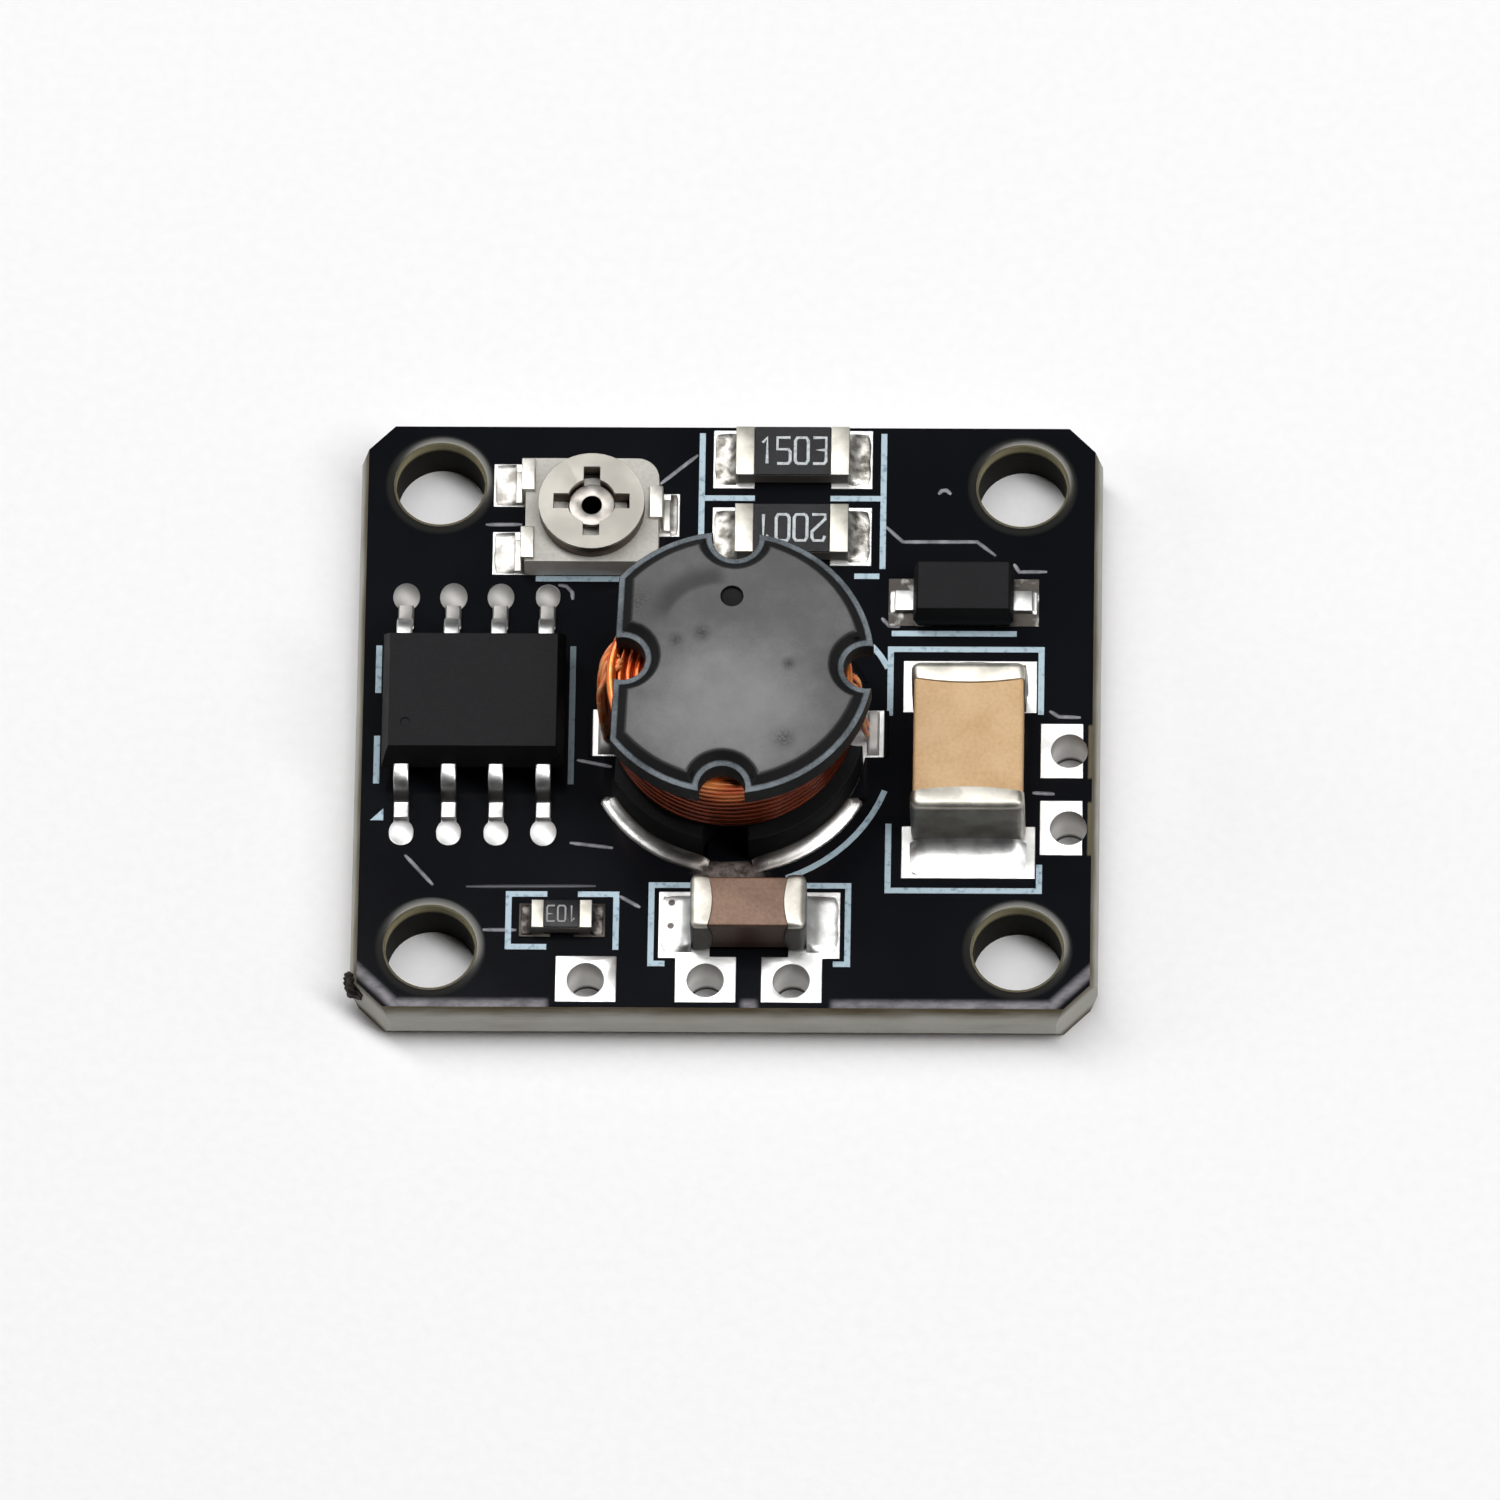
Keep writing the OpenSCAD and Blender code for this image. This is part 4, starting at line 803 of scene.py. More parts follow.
# %% [markdown]
# ## Lines that follow a path
#
# Copper tracks under the lacquer, strokes of print, leads and wire ends are all a small section drawn
# along a path. One tree does it: the path comes in as a chain of edges, becomes a curve, and a flattened
# circle or a rounded strip is swept along it. The swell attribute thins the section where it should
# taper.

# %% A tree that sweeps a section along a path
sweep_tree, given = new_tree("swept_path", Path="Geometry", Width="Float", Height="Float", Sides="Int",
                             Corner="Float")
path = given.geo("MeshToCurve", Mesh=given["Path"])
upright = path.geo("SetCurveNormal", {"mode": "Z_UP"}, Curve=path)
ring = path.geo("CurvePrimitiveCircle", Resolution=given["Sides"], Radius=0.5)
size = path.node("ShaderNodeCombineXYZ", {}, {"X": given["Width"], "Y": given["Height"], "Z": 1.0})
oval = ring.geo("Transform", Geometry=ring, Scale=size)
outline = path.geo("CurvePrimitiveQuadrilateral", Width=given["Width"], Height=given["Height"])
strip = outline.geo("FilletCurve", {"mode": "POLY"}, Curve=outline, Count=3, Radius=given["Corner"])
section = oval.node("GeometryNodeSwitch", {"input_type": "GEOMETRY"},
                    {"Switch": given["Corner"].above(0.0), "False": oval, "True": strip})
swell = path.geo("InputNamedAttribute", {"data_type": "FLOAT"}, Name="swell")
tube = path.geo("CurveToMesh", Curve=upright, Profile_Curve=section, Scale=swell, Fill_Caps=True)
end_tree(tube, given)
print("sweep tree with", len(sweep_tree.nodes), "nodes")


# %% Use the sweep tree
def swept(paths, width, height, finish, sides=12, swells=None, corner=0.0):
    """Sections of that width and height in millimetres along paths of points in millimetres.

    The section is oval, or a strip whose edges are rounded by corner millimetres.
    """
    start = bpy.data.meshes.new("paths")
    points, edges = [], []
    for path in paths:
        first = len(points)
        points += [Vector(point) * MM for point in path]
        edges += [(index, index + 1) for index in range(first, len(points) - 1)]
    start.from_pydata(points, edges, [])
    thickness = start.attributes.new("swell", "FLOAT", "POINT")
    thickness.data.foreach_set("value", swells or [1.0] * len(points))
    return grown(sweep_tree, start, finish,
                 Width=width * MM, Height=height * MM, Sides=sides, Corner=corner * MM)


def eased(points, steps=8):
    """A smooth path through points; between two of them it is a cubic that heeds their neighbours too."""
    smooth = []
    for index in range(len(points) - 1):
        near = [Vector(points[min(max(index + shift, 0), len(points) - 1)]) for shift in (-1, 0, 1, 2)]
        for step in range(steps):
            t = step / steps
            smooth.append(0.5 * (2 * near[1] + t * (near[2] - near[0])
                                 + t * t * (2 * near[0] - 5 * near[1] + 4 * near[2] - near[3])
                                 + t ** 3 * (3 * near[1] - near[0] - 3 * near[2] + near[3])))
    return smooth + [Vector(points[-1])]


def stepped(line, steps=6):
    """The same straight runs with more points on them."""
    spots = [Vector(a).lerp(Vector(b), step / steps) for a, b in zip(line, line[1:]) for step in range(steps)]
    return spots + [Vector(line[-1])]


def fading(path):
    """Widths along a path that taper at both of its ends."""
    last = len(path) - 1
    return [0.6 + 0.4 * min(1, 6 * min(index, last - index) / last) for index in range(last + 1)]


print("a straight run in", len(stepped([(0, 0), (1, 0)])), "points")

# %% [markdown]
# ## Tracks under the lacquer
#
# Where copper runs under the lacquer, the surface rises by a few hundredths of a millimetre, and the
# light runs along the edge. Displacing the board would need a very fine mesh. Low ridges laid half into
# the board give the same lines of light between the parts. They are painted pale grey, partly as copper
# showing through the lacquer and partly as a painted highlight, and one of them fainter. One short arch
# is the rim of a hole that the lacquer covers.

# %% Tracks
BOARD_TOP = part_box("circuit_board")[1].z / MM
TRACK_W, TRACK_H = 0.11, 0.04
FAINT_TRACK_Y = -5.08
TRACKS = [
    [(-8.58, -4.17), (-7.81, -5.06)],
    [(-6.92, -5.1), (-3.45, -5.07)],
    [(-2.8, -5.37), (-2.25, -5.7)],
    [(8.64, 0.19), (8.89, 0.02), (9.48, 0.0)],
    [(8.21, -2.25), (8.8, -2.28)],
    [(5.58, 6.66), (5.66, 6.77), (5.8, 6.79), (5.92, 6.66)],
    [(-6.45, -6.38), (-5.55, -6.38)],
    [(4.12, 5.74), (4.64, 5.23), (6.64, 5.24), (7.15, 4.82)],
    [(7.64, 4.58), (7.78, 4.34), (8.53, 4.35)],
    [(-6.61, 5.70), (-5.63, 5.71)],
    [(-1.93, 6.94), (-0.92, 7.82)],
    [(-4.02, -1.33), (-3.08, -1.53)],
    [(-4.17, -3.79), (-3.01, -3.94)],
    [(4.1, 2.95), (4.3, 2.72), (4.6, 2.7)],
    [(-4.62, 3.9), (-4.4, 3.86), (-4.24, 3.68), (-4.22, 3.46)],
]

raised = Finish("raised_lacquer", Specular_IOR_Level=0.5)
streak = raised.place.noise(2.5, 3)
faint = abs(raised.y - FAINT_TRACK_Y).between(0.15, 0.1) * raised.x.between(-7.3, -7.1)
# The tracks' pale grey is partly a painted highlight; one track is painted fainter.
raised.tone = streak.between(0.3, 0.7).blend((92, 92, 98), (146, 146, 154))
raised.patch(faint, (58, 58, 62))
raised.feed(Roughness=0.3 + 0.2 * streak)

ridges = [stepped([(x, y, BOARD_TOP) for x, y in line]) for line in TRACKS]
swells = [width for path in ridges for width in fading(path)]
settle("lacquered_tracks", swept(ridges, TRACK_W, TRACK_H, raised, swells=swells), "board_mask", raised)

# %% [markdown]
# ## The winding
#
# The coil is one enamelled wire wound in a tight helix. Stacked rings would look alike, but a helix
# climbs from turn to turn, which shows in the notches. The Spiral curve node gives the helix, and a small
# noise on its points keeps the turns from lying like machined grooves.

# %% A tree that winds a wire
coil_tree, given = new_tree("wound_wire", Core="Geometry", Turns="Float", Radius="Float", Height="Float",
                            Wire="Float", Centre="Vector", Wander="Float")
helix = given.geo("CurveSpiral", Resolution=96, Rotations=given["Turns"], Start_Radius=given["Radius"],
                  End_Radius=given["Radius"], Height=given["Height"])
stray = helix.node("ShaderNodeTexNoise", {}, {"Scale": 900.0, "Detail": 1.0}, out="Color")
stray = stray.vector("SUBTRACT", {1: (0.5, 0.5, 0.5)}).vector("SCALE", {"Scale": given["Wander"]})
loose = helix.geo("SetPosition", Geometry=helix, Offset=stray)
ring = helix.geo("CurvePrimitiveCircle", Resolution=12, Radius=given["Wire"] * 0.5)
tube = loose.geo("CurveToMesh", Curve=loose, Profile_Curve=ring, Fill_Caps=True)
end_tree(tube.geo("Transform", Geometry=tube, Translation=given["Centre"]), given)
print("winding tree with", len(coil_tree.nodes), "nodes")

# %% Winding
WIRE = 0.26
LAYERS = 5
LAYER_STEP = 0.9 * WIRE
SPARE_TURN, TURN_STEP = 0.6, 0.15
WANDER = 0.06

coil_middle = (wind_low + wind_high) / 2
coil_height = wind_high.z - wind_low.z - WIRE
coil_foot = Vector((coil_middle.x, coil_middle.y, wind_low.z + WIRE / 2))
layered = bmesh.new()
for layer in range(LAYERS):
    turn_r = (wind_high.x - wind_low.x - WIRE) / 2 - LAYER_STEP * layer
    layered.from_mesh(grown(
        coil_tree, bpy.data.meshes.new("core"), wire,
        Turns=coil_height / WIRE + SPARE_TURN - TURN_STEP * layer, Radius=turn_r * MM,
        Height=coil_height * MM, Wire=WIRE * MM, Centre=coil_foot * MM, Wander=WANDER * MM))
winding = bpy.data.meshes.new("coil_turns")
layered.to_mesh(winding)
layered.free()
settle("coil_turns", winding, "copper_wire", wire, "inductor_winding")

# %% [markdown]
# ## Wire ends
#
# At the two sides of the core, the ends of the wire run down over the winding to their solder tabs. They
# lie close to the turns, fan out a little and dip into the solder. Each is a short path for the sweep
# tree.

# %% Wire ends
STRANDS = 6
STRAND = 0.15
FAN_TOP, FAN_SPARE = 0.8, 0.75

ends = solids("inductor_wire_ends")
low, high = corners([corner for box in ends if box[0].x < coil_middle.x for corner in box])
half_way = 0.5 * (high.z + low.z)
right_tab = max(start.x for start, end in solids("inductor_solder") if end.x - start.x < 1)

end_paths = []
for strand in range(STRANDS):
    share = strand / (STRANDS - 1)
    y_top = high.y - WIRE / 2 - FAN_TOP * share
    y_foot = low.y + WIRE / 2 + (high.y - low.y - FAN_SPARE) * (1 - share)
    over = 0.06 * math.sin(7 * share + 1)
    out = low.x + 0.14 + 0.05 * math.sin(11 * share)
    end_paths.append([
        (out + 0.5 + over, y_top + 0.34, high.z), (out + 0.2 + over, y_top + 0.14, high.z - 0.2),
        (out + 0.03, y_top - 0.06, high.z - 0.65), (out - 0.02, (2 * y_top + y_foot) / 3, half_way + 0.4),
        (out, (y_top + 2 * y_foot) / 3, half_way - 0.5), (out + 0.05, y_foot, low.z + 0.5),
        (out + 0.08, y_foot, low.z - 0.1)])
for low, high in ends:
    if low.x > coil_middle.x:
        y = (low.y + high.y) / 2
        end_paths.append([
            (low.x - 0.05, y, high.z - 0.5), (low.x + 0.1, y, high.z - 0.9),
            (low.x + 0.14, y, (high.z + low.z) / 2), (right_tab - 0.08, y, low.z + 0.5),
            (right_tab, y, low.z - 0.06)])

strands = swept([eased(path) for path in end_paths], STRAND, STRAND, end_wire)
settle("coil_wire_ends", strands, "copper_wire", end_wire, "inductor_wire_ends")

# %% [markdown]
# ## Solder joints
#
# Molten solder climbs the plated end of a part and runs out thin along the pad, so a joint is a hollow
# slope with a rounded outline. A box with a bevel can't be hollow. Each joint is a small grid whose
# height is a formula, closed with a flat underside.

# %% A closed lump and a solder slope
SOLDER_FILM = 0.03
CLIMB = 0.6


def lump(work, steps, top):
    """A closed lump on a flat floor: top gives x, y, the floor's z and the height for u and v from 0 to 1."""
    def layer(lift):
        spots = [[top(i / steps, j / steps) for j in range(steps + 1)] for i in range(steps + 1)]
        return [[work.verts.new((x, y, z + lift * height)) for x, y, z, height in row] for row in spots]

    upper, lower = layer(1), layer(0)
    for i in range(steps):
        for j in range(steps):
            work.faces.new((upper[i][j], upper[i + 1][j], upper[i + 1][j + 1], upper[i][j + 1]))
            work.faces.new((lower[i][j], lower[i][j + 1], lower[i + 1][j + 1], lower[i + 1][j]))
    border = ([(i, 0) for i in range(steps)] + [(steps, j) for j in range(steps)]
              + [(i, steps) for i in range(steps, 0, -1)] + [(0, j) for j in range(steps, 0, -1)])
    for (i, j), (k, l) in zip(border, border[1:] + border[:1]):
        work.faces.new((upper[i][j], lower[i][j], lower[k][l], upper[k][l]))


def slope(work, box, axis, sign, spare, rise, phase):
    """A slope over one CAD solid of solder, out along an axis; spare is what it adds to the solid's width."""
    start, end = box
    root = (start + end) / 2
    root[axis] = start[axis] if sign > 0 else end[axis]
    out = Vector((0, sign)) if axis else Vector((sign, 0))
    side = Vector((-out.y, out.x))
    run, width = end[axis] - start[axis], end[1 - axis] - start[1 - axis] + spare

    def top(u, v):
        q = 2 * v - 1
        wave = math.sin(5 * u + 4 * q + phase) + 0.6 * math.sin(9 * q - 3 * u + 2 * phase)
        along = run * u * (1 - 0.1 * abs(q) ** 5 + 0.02 * math.sin(6 * q + phase))
        across = q * width / 2 * (1 - 0.05 * u ** 3)
        rim = math.sqrt(max(0, 1 - u ** 10)) * math.sqrt(max(0, 1 - abs(q) ** 14))
        height = SOLDER_FILM + (CLIMB * rise - SOLDER_FILM) * (1 - u) ** 4 * (1 - 0.25 * q ** 4)
        height *= rim * (1 + 0.07 * wave * u * (1.2 - u))
        spot = root.xy + out * along + side * across
        return spot.x, spot.y, start.z, height

    lump(work, 16, top)


print("a slope climbs", CLIMB, "of its solid's height")

# %% Solder slopes at the ends of the parts
END_SPARE = 0.1
TOUCH = 0.01


def end_joints(part, finish, ends="_terminals"):
    """The two joints of a part, between its plated ends and the outer edges of its solder solids."""
    work = bmesh.new()
    low, high = corners([corner for box in solids(part + ends) for corner in box])
    for index, (start, end) in enumerate(solids(part + "_solder")):
        axis = 1 if end.y < low.y + TOUCH or start.y > high.y - TOUCH else 0
        sign = 1 if start[axis] > high[axis] - TOUCH else -1
        phase = 1.7 * index + ((start + end) / 2).x
        slope(work, (start, end), axis, sign, END_SPARE, end.z - start.z, phase)
    settle(part + "_joints", close(work), "solder", finish, part + "_solder")


for part, finish in (("output_capacitor", solder), ("input_capacitor", solder),
                     ("upper_resistor", mottled_solder), ("lower_resistor", mottled_solder),
                     ("small_resistor", dull_solder)):
    end_joints(part, finish)
end_joints("diode", solder, "_leads")

# %% Solder at the trimmer's terminals
TRIMMER_RISE = 0.16
TRIMMER_SPARE = 0.05

work = bmesh.new()
trimmer_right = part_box("trimmer_base")[1].x / MM
for index, (start, end) in enumerate(solids("trimmer_solder")):
    sign = 1 if start.x > trimmer_right else -1
    slope(work, (start, end), 0, sign, TRIMMER_SPARE, TRIMMER_RISE, 2.1 * index)
settle("trimmer_joints", close(work), "solder", streaked_solder, "trimmer_solder")

# %% [markdown]
# ## Bent leads of the chip
#
# The leads are stamped flat and bent in a press, so each bend is an even curve. That curve makes the
# light fade slowly down the leg, which a mitred corner can't do. The sweep tree draws a strip with
# rounded edges along the bent path.

# %% Bent leads
LEAD_T = 0.2
LEAD_CORNER = 0.05
chip_y = sum(corner.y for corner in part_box("chip_body")) / 2 / MM

lead_boxes = solids("chip_leads")
lead_paths = []
for low, high in lead_boxes:
    outward = 1 if (low.y + high.y) / 2 > chip_y else -1
    root, toe = (low.y, high.y) if outward > 0 else (high.y, low.y)
    level, foot = high.z - LEAD_T / 2, low.z + LEAD_T / 2
    drop = level - foot
    bends = [(0, level), (0.36, level), (0.52, level - 0.03 * drop), (0.66, level - 0.12 * drop),
             (0.78, level - 0.3 * drop), (0.85, level - 0.52 * drop), (0.9, foot + 0.24 * drop),
             (0.97, foot + 0.06 * drop), (1.08, foot), (abs(toe - root), foot)]
    lead_paths.append(eased([((low.x + high.x) / 2, root + outward * run, z) for run, z in bends], steps=6))

lead_w = lead_boxes[0][1].x - lead_boxes[0][0].x
leads = swept(lead_paths, lead_w, LEAD_T, lead_metal, corner=LEAD_CORNER)
settle("chip_bent_leads", leads, "tinned_lead", lead_metal, "chip_leads")

# %% [markdown]
# ## Beads at the chip's leads
#
# The eight leads end in round beads of solder, all alike and each a little different: a job for instances
# on points. The tree squashes a sphere into a dome with a flat foot, sets one at each lead's tip and
# varies the size with a fixed seed.

# %% A tree that sets beads
bead_tree, given = new_tree("solder_beads", Tips="Geometry", Size="Vector", Spread="Float", Seed="Int")
ball = given.geo("MeshUVSphere", Segments=28, Rings=16, Radius=1.0)
spot = given.geo("InputPosition")
parts = spot.node("ShaderNodeSeparateXYZ", {}, {0: spot})
up = parts["Z"].most(0.0)
foot = spot.node("ShaderNodeCombineXYZ", {}, {"X": parts, "Y": parts["Y"], "Z": up * up})
dome = ball.geo("SetPosition", Geometry=ball, Position=foot)
vary = given.node("FunctionNodeRandomValue", {"data_type": "FLOAT"},
                  {2: 1 - given["Spread"], 3: 1 + given["Spread"], "Seed": given["Seed"]}, out=1)
size = given["Size"].vector("SCALE", {"Scale": vary})
end_tree(given.geo("InstanceOnPoints", Points=given["Tips"], Instance=dome, Scale=size), given)
print("bead tree with", len(bead_tree.nodes), "nodes")

# %% Chip beads
BEAD = Vector((0.35, 0.4, 0.1))
BEAD_SPREAD = 0.08
BEAD_SEED = 4

tips = bpy.data.meshes.new("lead_tips")
tips.from_pydata([Vector(((low.x + high.x) / 2, (low.y + high.y) / 2, low.z)) * MM
                  for low, high in solids("chip_solder")], [], [])
beads = grown(bead_tree, tips, bead_solder, Size=BEAD * MM, Spread=BEAD_SPREAD, Seed=BEAD_SEED)
settle("chip_beads", beads, "solder", bead_solder, "chip_solder")

# %% [markdown]
# ## Solder round the inductor
#
# The core stands on two half-moon pads. Solder shows along them as bright crescents that thin out towards
# the middle, and as a small lump at each side where the wire ends are held. Close to the core and towards
# the middle the solder is painted brown-grey, as painted shade under the core's flange.

# %% Crescents and tabs
FOOT_R = 3.61
PAD_R = 4.0
END_Y = 1.72
FAR_START, LAST_ANGLE = 45, 81
BEAD_H = 0.07
coil_x, coil_y = coil_middle.x, coil_middle.y


def crescent(low, high, phase):
    """The top of a half-moon: u runs from its outer end to the middle, and v from the core outwards."""
    centre = (low + high) / 2
    toward = 1 if centre.y > coil_y else -1
    side = 1 if centre.x > coil_x else -1

    def top(u, v):
        round_off = 1 - (1 - min(1, u / 0.09)) ** 2
        reach = FOOT_R + (PAD_R - FOOT_R) * v * (0.45 + 0.55 * math.sqrt(round_off))
        start = math.degrees(math.asin(END_Y / reach)) if toward < 0 else FAR_START
        angle = math.radians(start + (LAST_ANGLE - start) * u)
        full = math.sqrt(1 - (1 - min(1, u / 0.06)) ** 2) * math.sqrt(min(1, (1 - u) / 0.12))
        fillet = (high.z - low.z) * (1 - v) ** 3
        bead = BEAD_H * (1 - 0.45 * u) * math.sqrt(max(0, 1 - (2 * max(0.0, v - 0.45) / 1.1) ** 6))
        height = (fillet + bead) * math.sqrt(max(0, 1 - v ** 12)) * max(0.02, full)
        height *= 1 + 0.05 * math.sin(9 * u + phase)
        x, y = coil_x + side * reach * math.cos(angle), coil_y + toward * reach * math.sin(angle)
        return x, y, low.z, height

    return top


def tab(low, high, phase):
    """The top of the lump that holds the wire ends at one side."""
    def top(u, v):
        x, y = low.x + (high.x - low.x) * u, low.y + (high.y - low.y) * v
        rim = max(0, 1 - (2 * u - 1) ** 6) * max(0, 1 - (2 * v - 1) ** 8)
        return x, y, low.z, (high.z - low.z) * math.sqrt(rim) * (0.8 + 0.2 * math.sin(4 * v + phase))

    return top


work = bmesh.new()
for index, (low, high) in enumerate(solids("inductor_solder")):
    if high.x - low.x > 1:
        lump(work, 28, crescent(low, high, index))
    else:
        lump(work, 16, tab(low, high, index))

coil_solder = metal("coil_solder", (206, 205, 202), (238, 237, 234),
                    grains=2.0, rough=(0.3, 0.46), depth=0.016)
from_core = coil_solder.nearest([(coil_x, coil_y)])
off_middle = abs(coil_solder.x - coil_x)
# Close to the core and towards the middle the solder is painted darker, as painted shade under the core's
# flange.
solder_shade = from_core.between(3.71, 3.59).most(0.75 * off_middle.between(2.9, 0.7))
solder_shade = solder_shade * (1 - off_middle.between(3.1, 3.4))
at_tab = abs(coil_solder.y - coil_y).between(1.1, 1.0)
coil_solder.patch(solder_shade, (92, 78, 68))
coil_solder.feed(
    Roughness=0.32 + 0.14 * coil_solder.place.noise(2, 3) + 0.2 * at_tab,
    Metallic=1 - 0.7 * at_tab,
)
settle("inductor_joints", close(work), "solder", coil_solder, "inductor_solder")

# %% [markdown]
# ## Marks of making
#
# Two small marks show how the board was made. Flux from the solder paste has dried to a grey-brown crust
# between the two half-moon joints. At the near left corner a torn stub is left of the tab that held the
# board in its panel. The crust is a low lump that fades out at its border, and the stub is a ball pushed
# out of shape.

# %% Flux crust
CRUST_MIDDLE = (0.15, -4.72)
CRUST_HALF, CRUST_DEPTH, CRUST_H = 1.1, 0.7, 0.15
SQUEEZE_X, SQUEEZE_Y = 0.9, 2.1

residue = Finish("flux_residue", Specular_IOR_Level=0.4)
crust = residue.place.noise(5, 4, 0.65)
squeezed = residue.place.stretched(SQUEEZE_X, SQUEEZE_Y, 0)
from_middle = squeezed.away_from(SQUEEZE_X * CRUST_MIDDLE[0], SQUEEZE_Y * CRUST_MIDDLE[1], 0)
residue.feed(
    Alpha=(from_middle + 1.1 * crust - 0.55).between(1.0, 0.45),
    Base_Color=crust.between(0.3, 0.7).blend((62, 54, 50), (146, 132, 126)),
    Roughness=0.45 + 0.3 * crust,
)
residue.relief(crust, 0.03)


def crusted(u, v):
    """The top of the crust, which follows the round foot of the core."""
    x = coil_x + CRUST_HALF * (2 * u - 1)
    reach = FOOT_R + CRUST_DEPTH * v
    y = coil_y - math.sqrt(reach ** 2 - (x - coil_x) ** 2)
    rim = max(0, 1 - (2 * u - 1) ** 8) * max(0, 1 - (2 * v - 1) ** 6)
    return x, y, BOARD_TOP, CRUST_H * math.sqrt(rim) * (0.8 + 0.2 * math.sin(13 * u + 7 * v))


work = bmesh.new()
lump(work, 20, crusted)
settle("flux_crust", close(work), "solder", residue)

# %% Torn stub
STUB = Vector((-9.84, -7.76, 1.02))
STUB_HALF = (0.36, 0.28, 0.45)

torn_board = Finish("torn_board", Specular_IOR_Level=0.3)
torn = torn_board.place.noise(8, 4, 0.7)
torn_board.feed(
    Base_Color=torn.between(0.35, 0.7).blend((14, 12, 13), (58, 48, 42)),
    Roughness=0.5 + 0.3 * torn,
)
torn_board.relief(torn, 0.05)

work = bmesh.new()
bmesh.ops.create_icosphere(work, subdivisions=4, radius=1)
for corner in work.verts:
    x, y, z = corner.co
    ragged = 1 + 0.22 * math.sin(5 * x + 3 * z) * math.cos(6 * y - 4 * z) + 0.1 * math.sin(17 * z + 9 * y)
    stub = Vector([half * value for half, value in zip(STUB_HALF, corner.co)]) * ragged
    corner.co = STUB + Vector(((stub.x + stub.y) * DIAGONAL, (stub.y - stub.x) * DIAGONAL, stub.z))
settle("torn_tab", close(work), "board_mask", torn_board)

# %% [markdown]
# ## Plated ends of the capacitors
#
# The ends of a ceramic capacitor are dipped in metal paste and plated. The paste draws back to round
# edges, swells a little in the middle and reaches furthest along the middle of each face. Rings of a
# rounded rectangle, lofted from the inner edge over the rounded outer end, give all three.

# %% Dipped ends
CROWN = 0.02
DRAW_BACK = 0.14
SPACING = 0.12


def rounded_frame(half_width, half_height, radius, steps=6):
    """Points round a rounded rectangle, with a few more along its sides."""
    points = []
    for quarter, (x, y) in enumerate(((1, 1), (-1, 1), (-1, -1), (1, -1))):
        for step in range(steps + 1):
            angle = math.radians(90 * quarter + 90 * step / steps)
            points.append((x * (half_width - radius) + radius * math.cos(angle),
                           y * (half_height - radius) + radius * math.sin(angle)))
    filled = []
    for (x0, y0), (x1, y1) in zip(points, points[1:] + points[:1]):
        parts = max(1, round(math.hypot(x1 - x0, y1 - y0) / SPACING))
        filled += [(x0 + (x1 - x0) * part / parts, y0 + (y1 - y0) * part / parts) for part in range(parts)]
    return filled


def dipped_end(work, low, high, axis, sign, rounding):
    """One plated end inside the box from low to high; sign tells which end of the part along axis it is."""
    across = 1 - axis
    middle = (low + high) / 2
    half_width, half_height = (high[across] - low[across]) / 2, (high.z - low.z) / 2
    length = high[axis] - low[axis]
    inner = low[axis] if sign > 0 else high[axis]
    outline = rounded_frame(half_width, half_height, rounding)
    stations = [(0, 0.03), (0.02, 0)] + [(length * part / 6, 0) for part in range(1, 5)]
    for step in range(7):
        angle = math.radians(15 * step)
        stations.append((length - rounding * (1 - math.sin(angle)), rounding * (1 - math.cos(angle))))
    rings = []
    for along, inset in stations:
        ring = []
        inset -= CROWN * math.sin(math.pi * min(1, along / length))
        for x, z in outline:
            edge = min(abs(x) / half_width, abs(z) / half_height)
            back = DRAW_BACK * max(0, 1 - along / (0.6 * length)) * edge ** 2
            spot = Vector((0, 0, middle.z + z * (1 - inset / half_height)))
            spot[axis] = inner + sign * (along + back)
            spot[across] = middle[across] + x * (1 - inset / half_width)
            ring.append(work.verts.new(spot))
        rings.append(ring)
    for first, second in zip(rings, rings[1:]):
        for index in range(len(first)):
            follow = (index + 1) % len(first)
            work.faces.new((first[index], first[follow], second[follow], second[index]))
    work.faces.new(rings[0])
    work.faces.new(rings[-1])


for part, axis, rounding in (("output_capacitor", 1, 0.2), ("input_capacitor", 0, 0.16)):
    work = bmesh.new()
    for index, (low, high) in enumerate(solids(part + "_terminals")):
        dipped_end(work, low, high, axis, 2 * index - 1, rounding)
    settle(part + "_ends", close(work), "plated_end", end_metal, part + "_terminals")

# %% [markdown]
# ## Value marks and a stroke of print
#
# The resistors carry plain numbers in white ink. A text object would bring a font along; the real marks
# are squared single strokes, so each figure is a short path on a grid and the sweep tree draws it flat.
# The same tree draws the short curved stroke of board print between the inductor and the large capacitor.

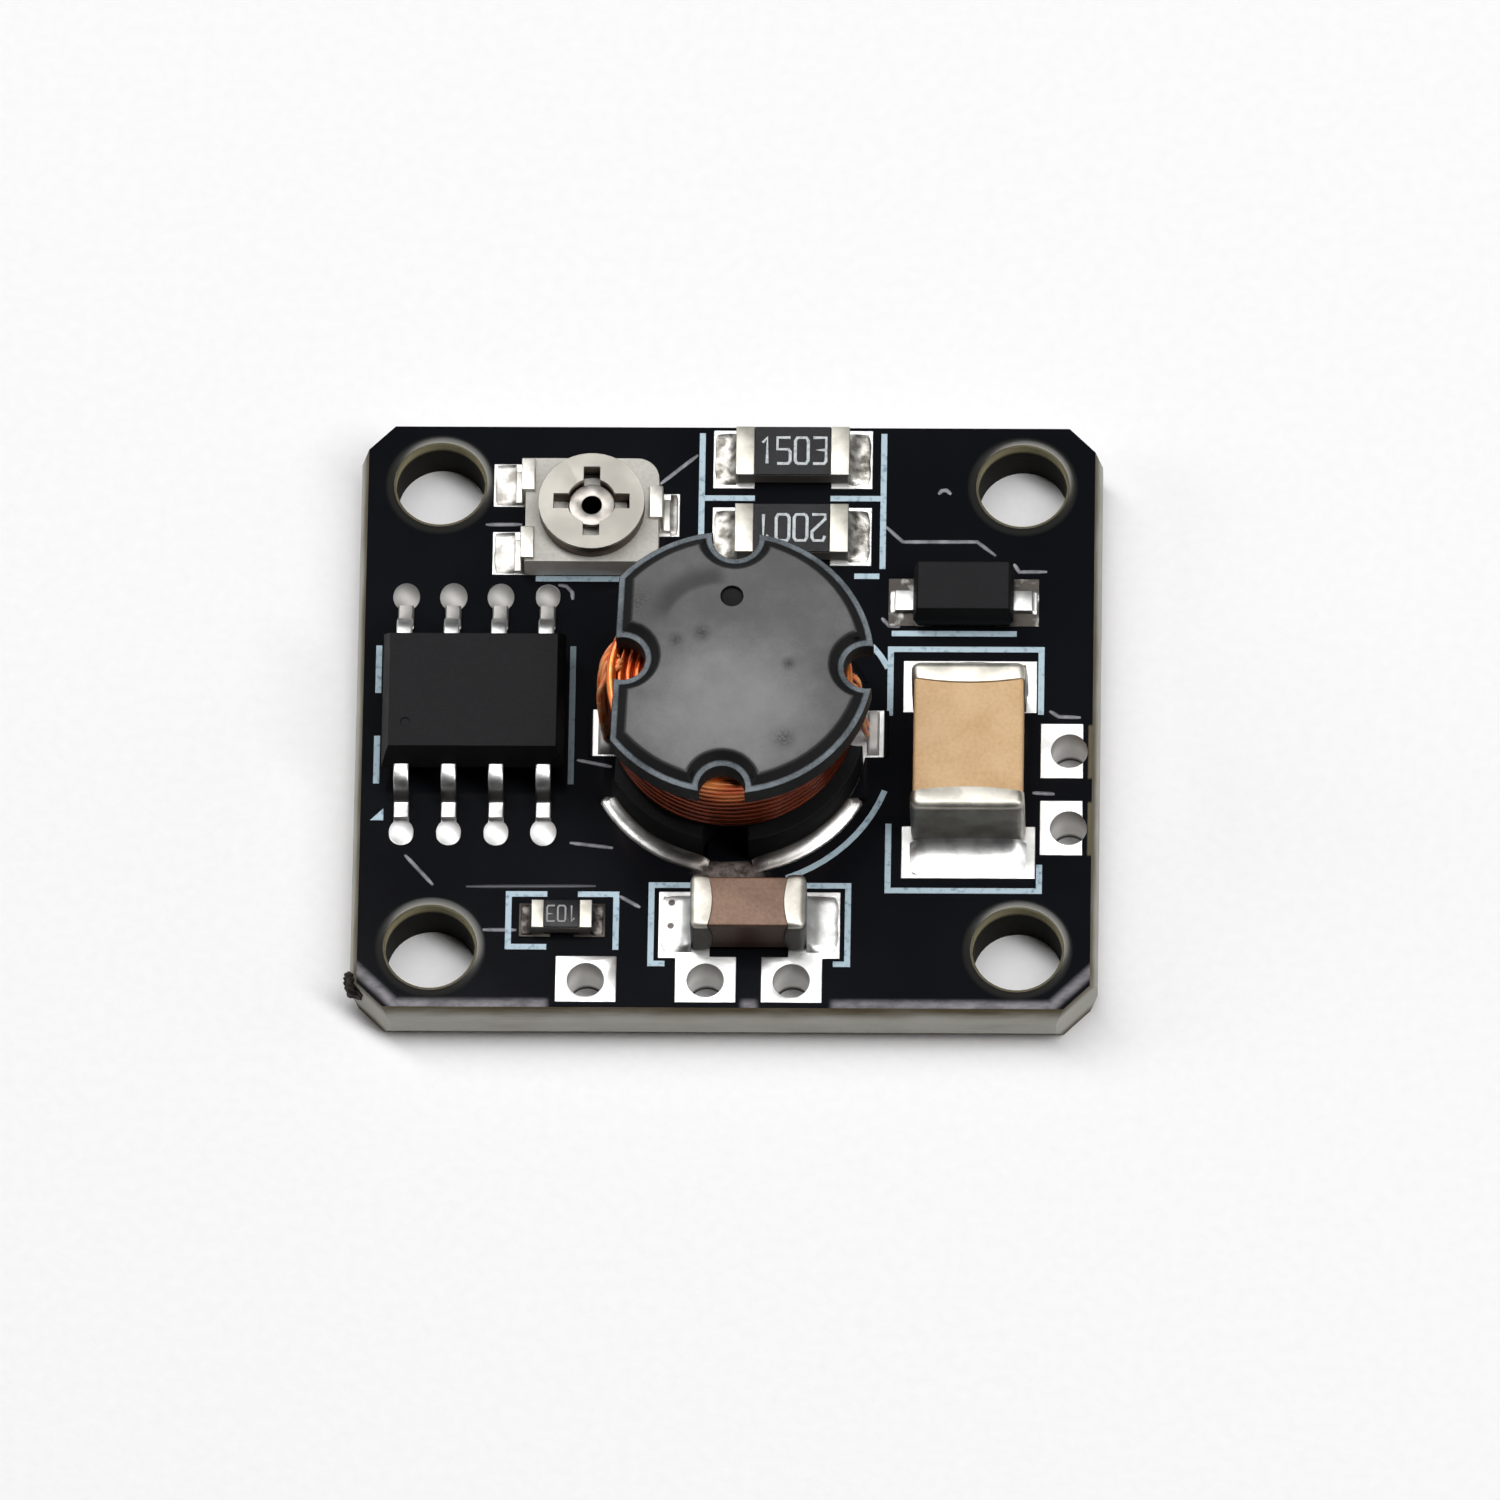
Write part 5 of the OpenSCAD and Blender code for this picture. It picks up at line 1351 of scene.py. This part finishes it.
# %% Value marks
STROKES = {
    "0": [(0.15, 0), (0.85, 0), (1, 0.25), (1, 1.75), (0.85, 2), (0.15, 2), (0, 1.75), (0, 0.25), (0.15, 0)],
    "1": [(0.25, 1.6), (0.6, 2), (0.6, 0)],
    "2": [(0, 1.65), (0.15, 2), (0.85, 2), (1, 1.75), (1, 1.3), (0, 0.35), (0, 0), (1, 0)],
    "3": [(0, 2), (1, 2), (1, 1.1), (0.3, 1.05), (1, 1), (1, 0.2), (0.85, 0), (0, 0)],
    "5": [(1, 2), (0, 2), (0, 1.1), (0.85, 1.1), (1, 0.9), (1, 0.2), (0.85, 0), (0, 0)],
}
PITCH, STROKE, INK_H = 0.62, 0.11, 0.02
FIGURE_START, FIGURE_W = 0.14, 0.72

mark_ink = inked("mark_ink", (150, 156, 160), (206, 211, 213), grains=9, broken=(0.2, 0.6), depth=0.005)
mark_ink.patch(mark_ink.y.between(-4, -5), (158, 158, 159))


def value_mark(part, figures, height, turn):
    """Figures of that height on a resistor's coat; turn is -1 where they are upside down."""
    low, high = solids(part + "_coat")[0]
    middle = (low + high) / 2
    paths = []
    for index, figure in enumerate(figures):
        line = []
        for x, y in STROKES[figure]:
            along = (index - len(figures) / 2 + FIGURE_START + FIGURE_W * x) * PITCH * height
            spot = Vector((along, (y / 2 - 0.5) * height, 0))
            line.append(middle + turn * spot + Vector((0, 0, high.z - middle.z)))
        paths.append(line)
    settle(part + "_mark", swept(paths, STROKE * height, INK_H, mark_ink, sides=8), "printed_ink", mark_ink)


value_mark("upper_resistor", "1503", height=0.78, turn=1)
value_mark("lower_resistor", "2001", height=0.78, turn=-1)
value_mark("small_resistor", "103", height=0.46, turn=-1)

# %% A stroke of board print
COIL_LINE = [(3.85, 2.11), (4.09, 1.81), (4.29, 1.45)]
LINE_W, LINE_H = 0.16, 0.03

coil_line = eased([(x, y, BOARD_TOP) for x, y in COIL_LINE])
settle("coil_line", swept([coil_line], LINE_W, LINE_H, ink, sides=8), "printed_ink", ink)

# %% [markdown]
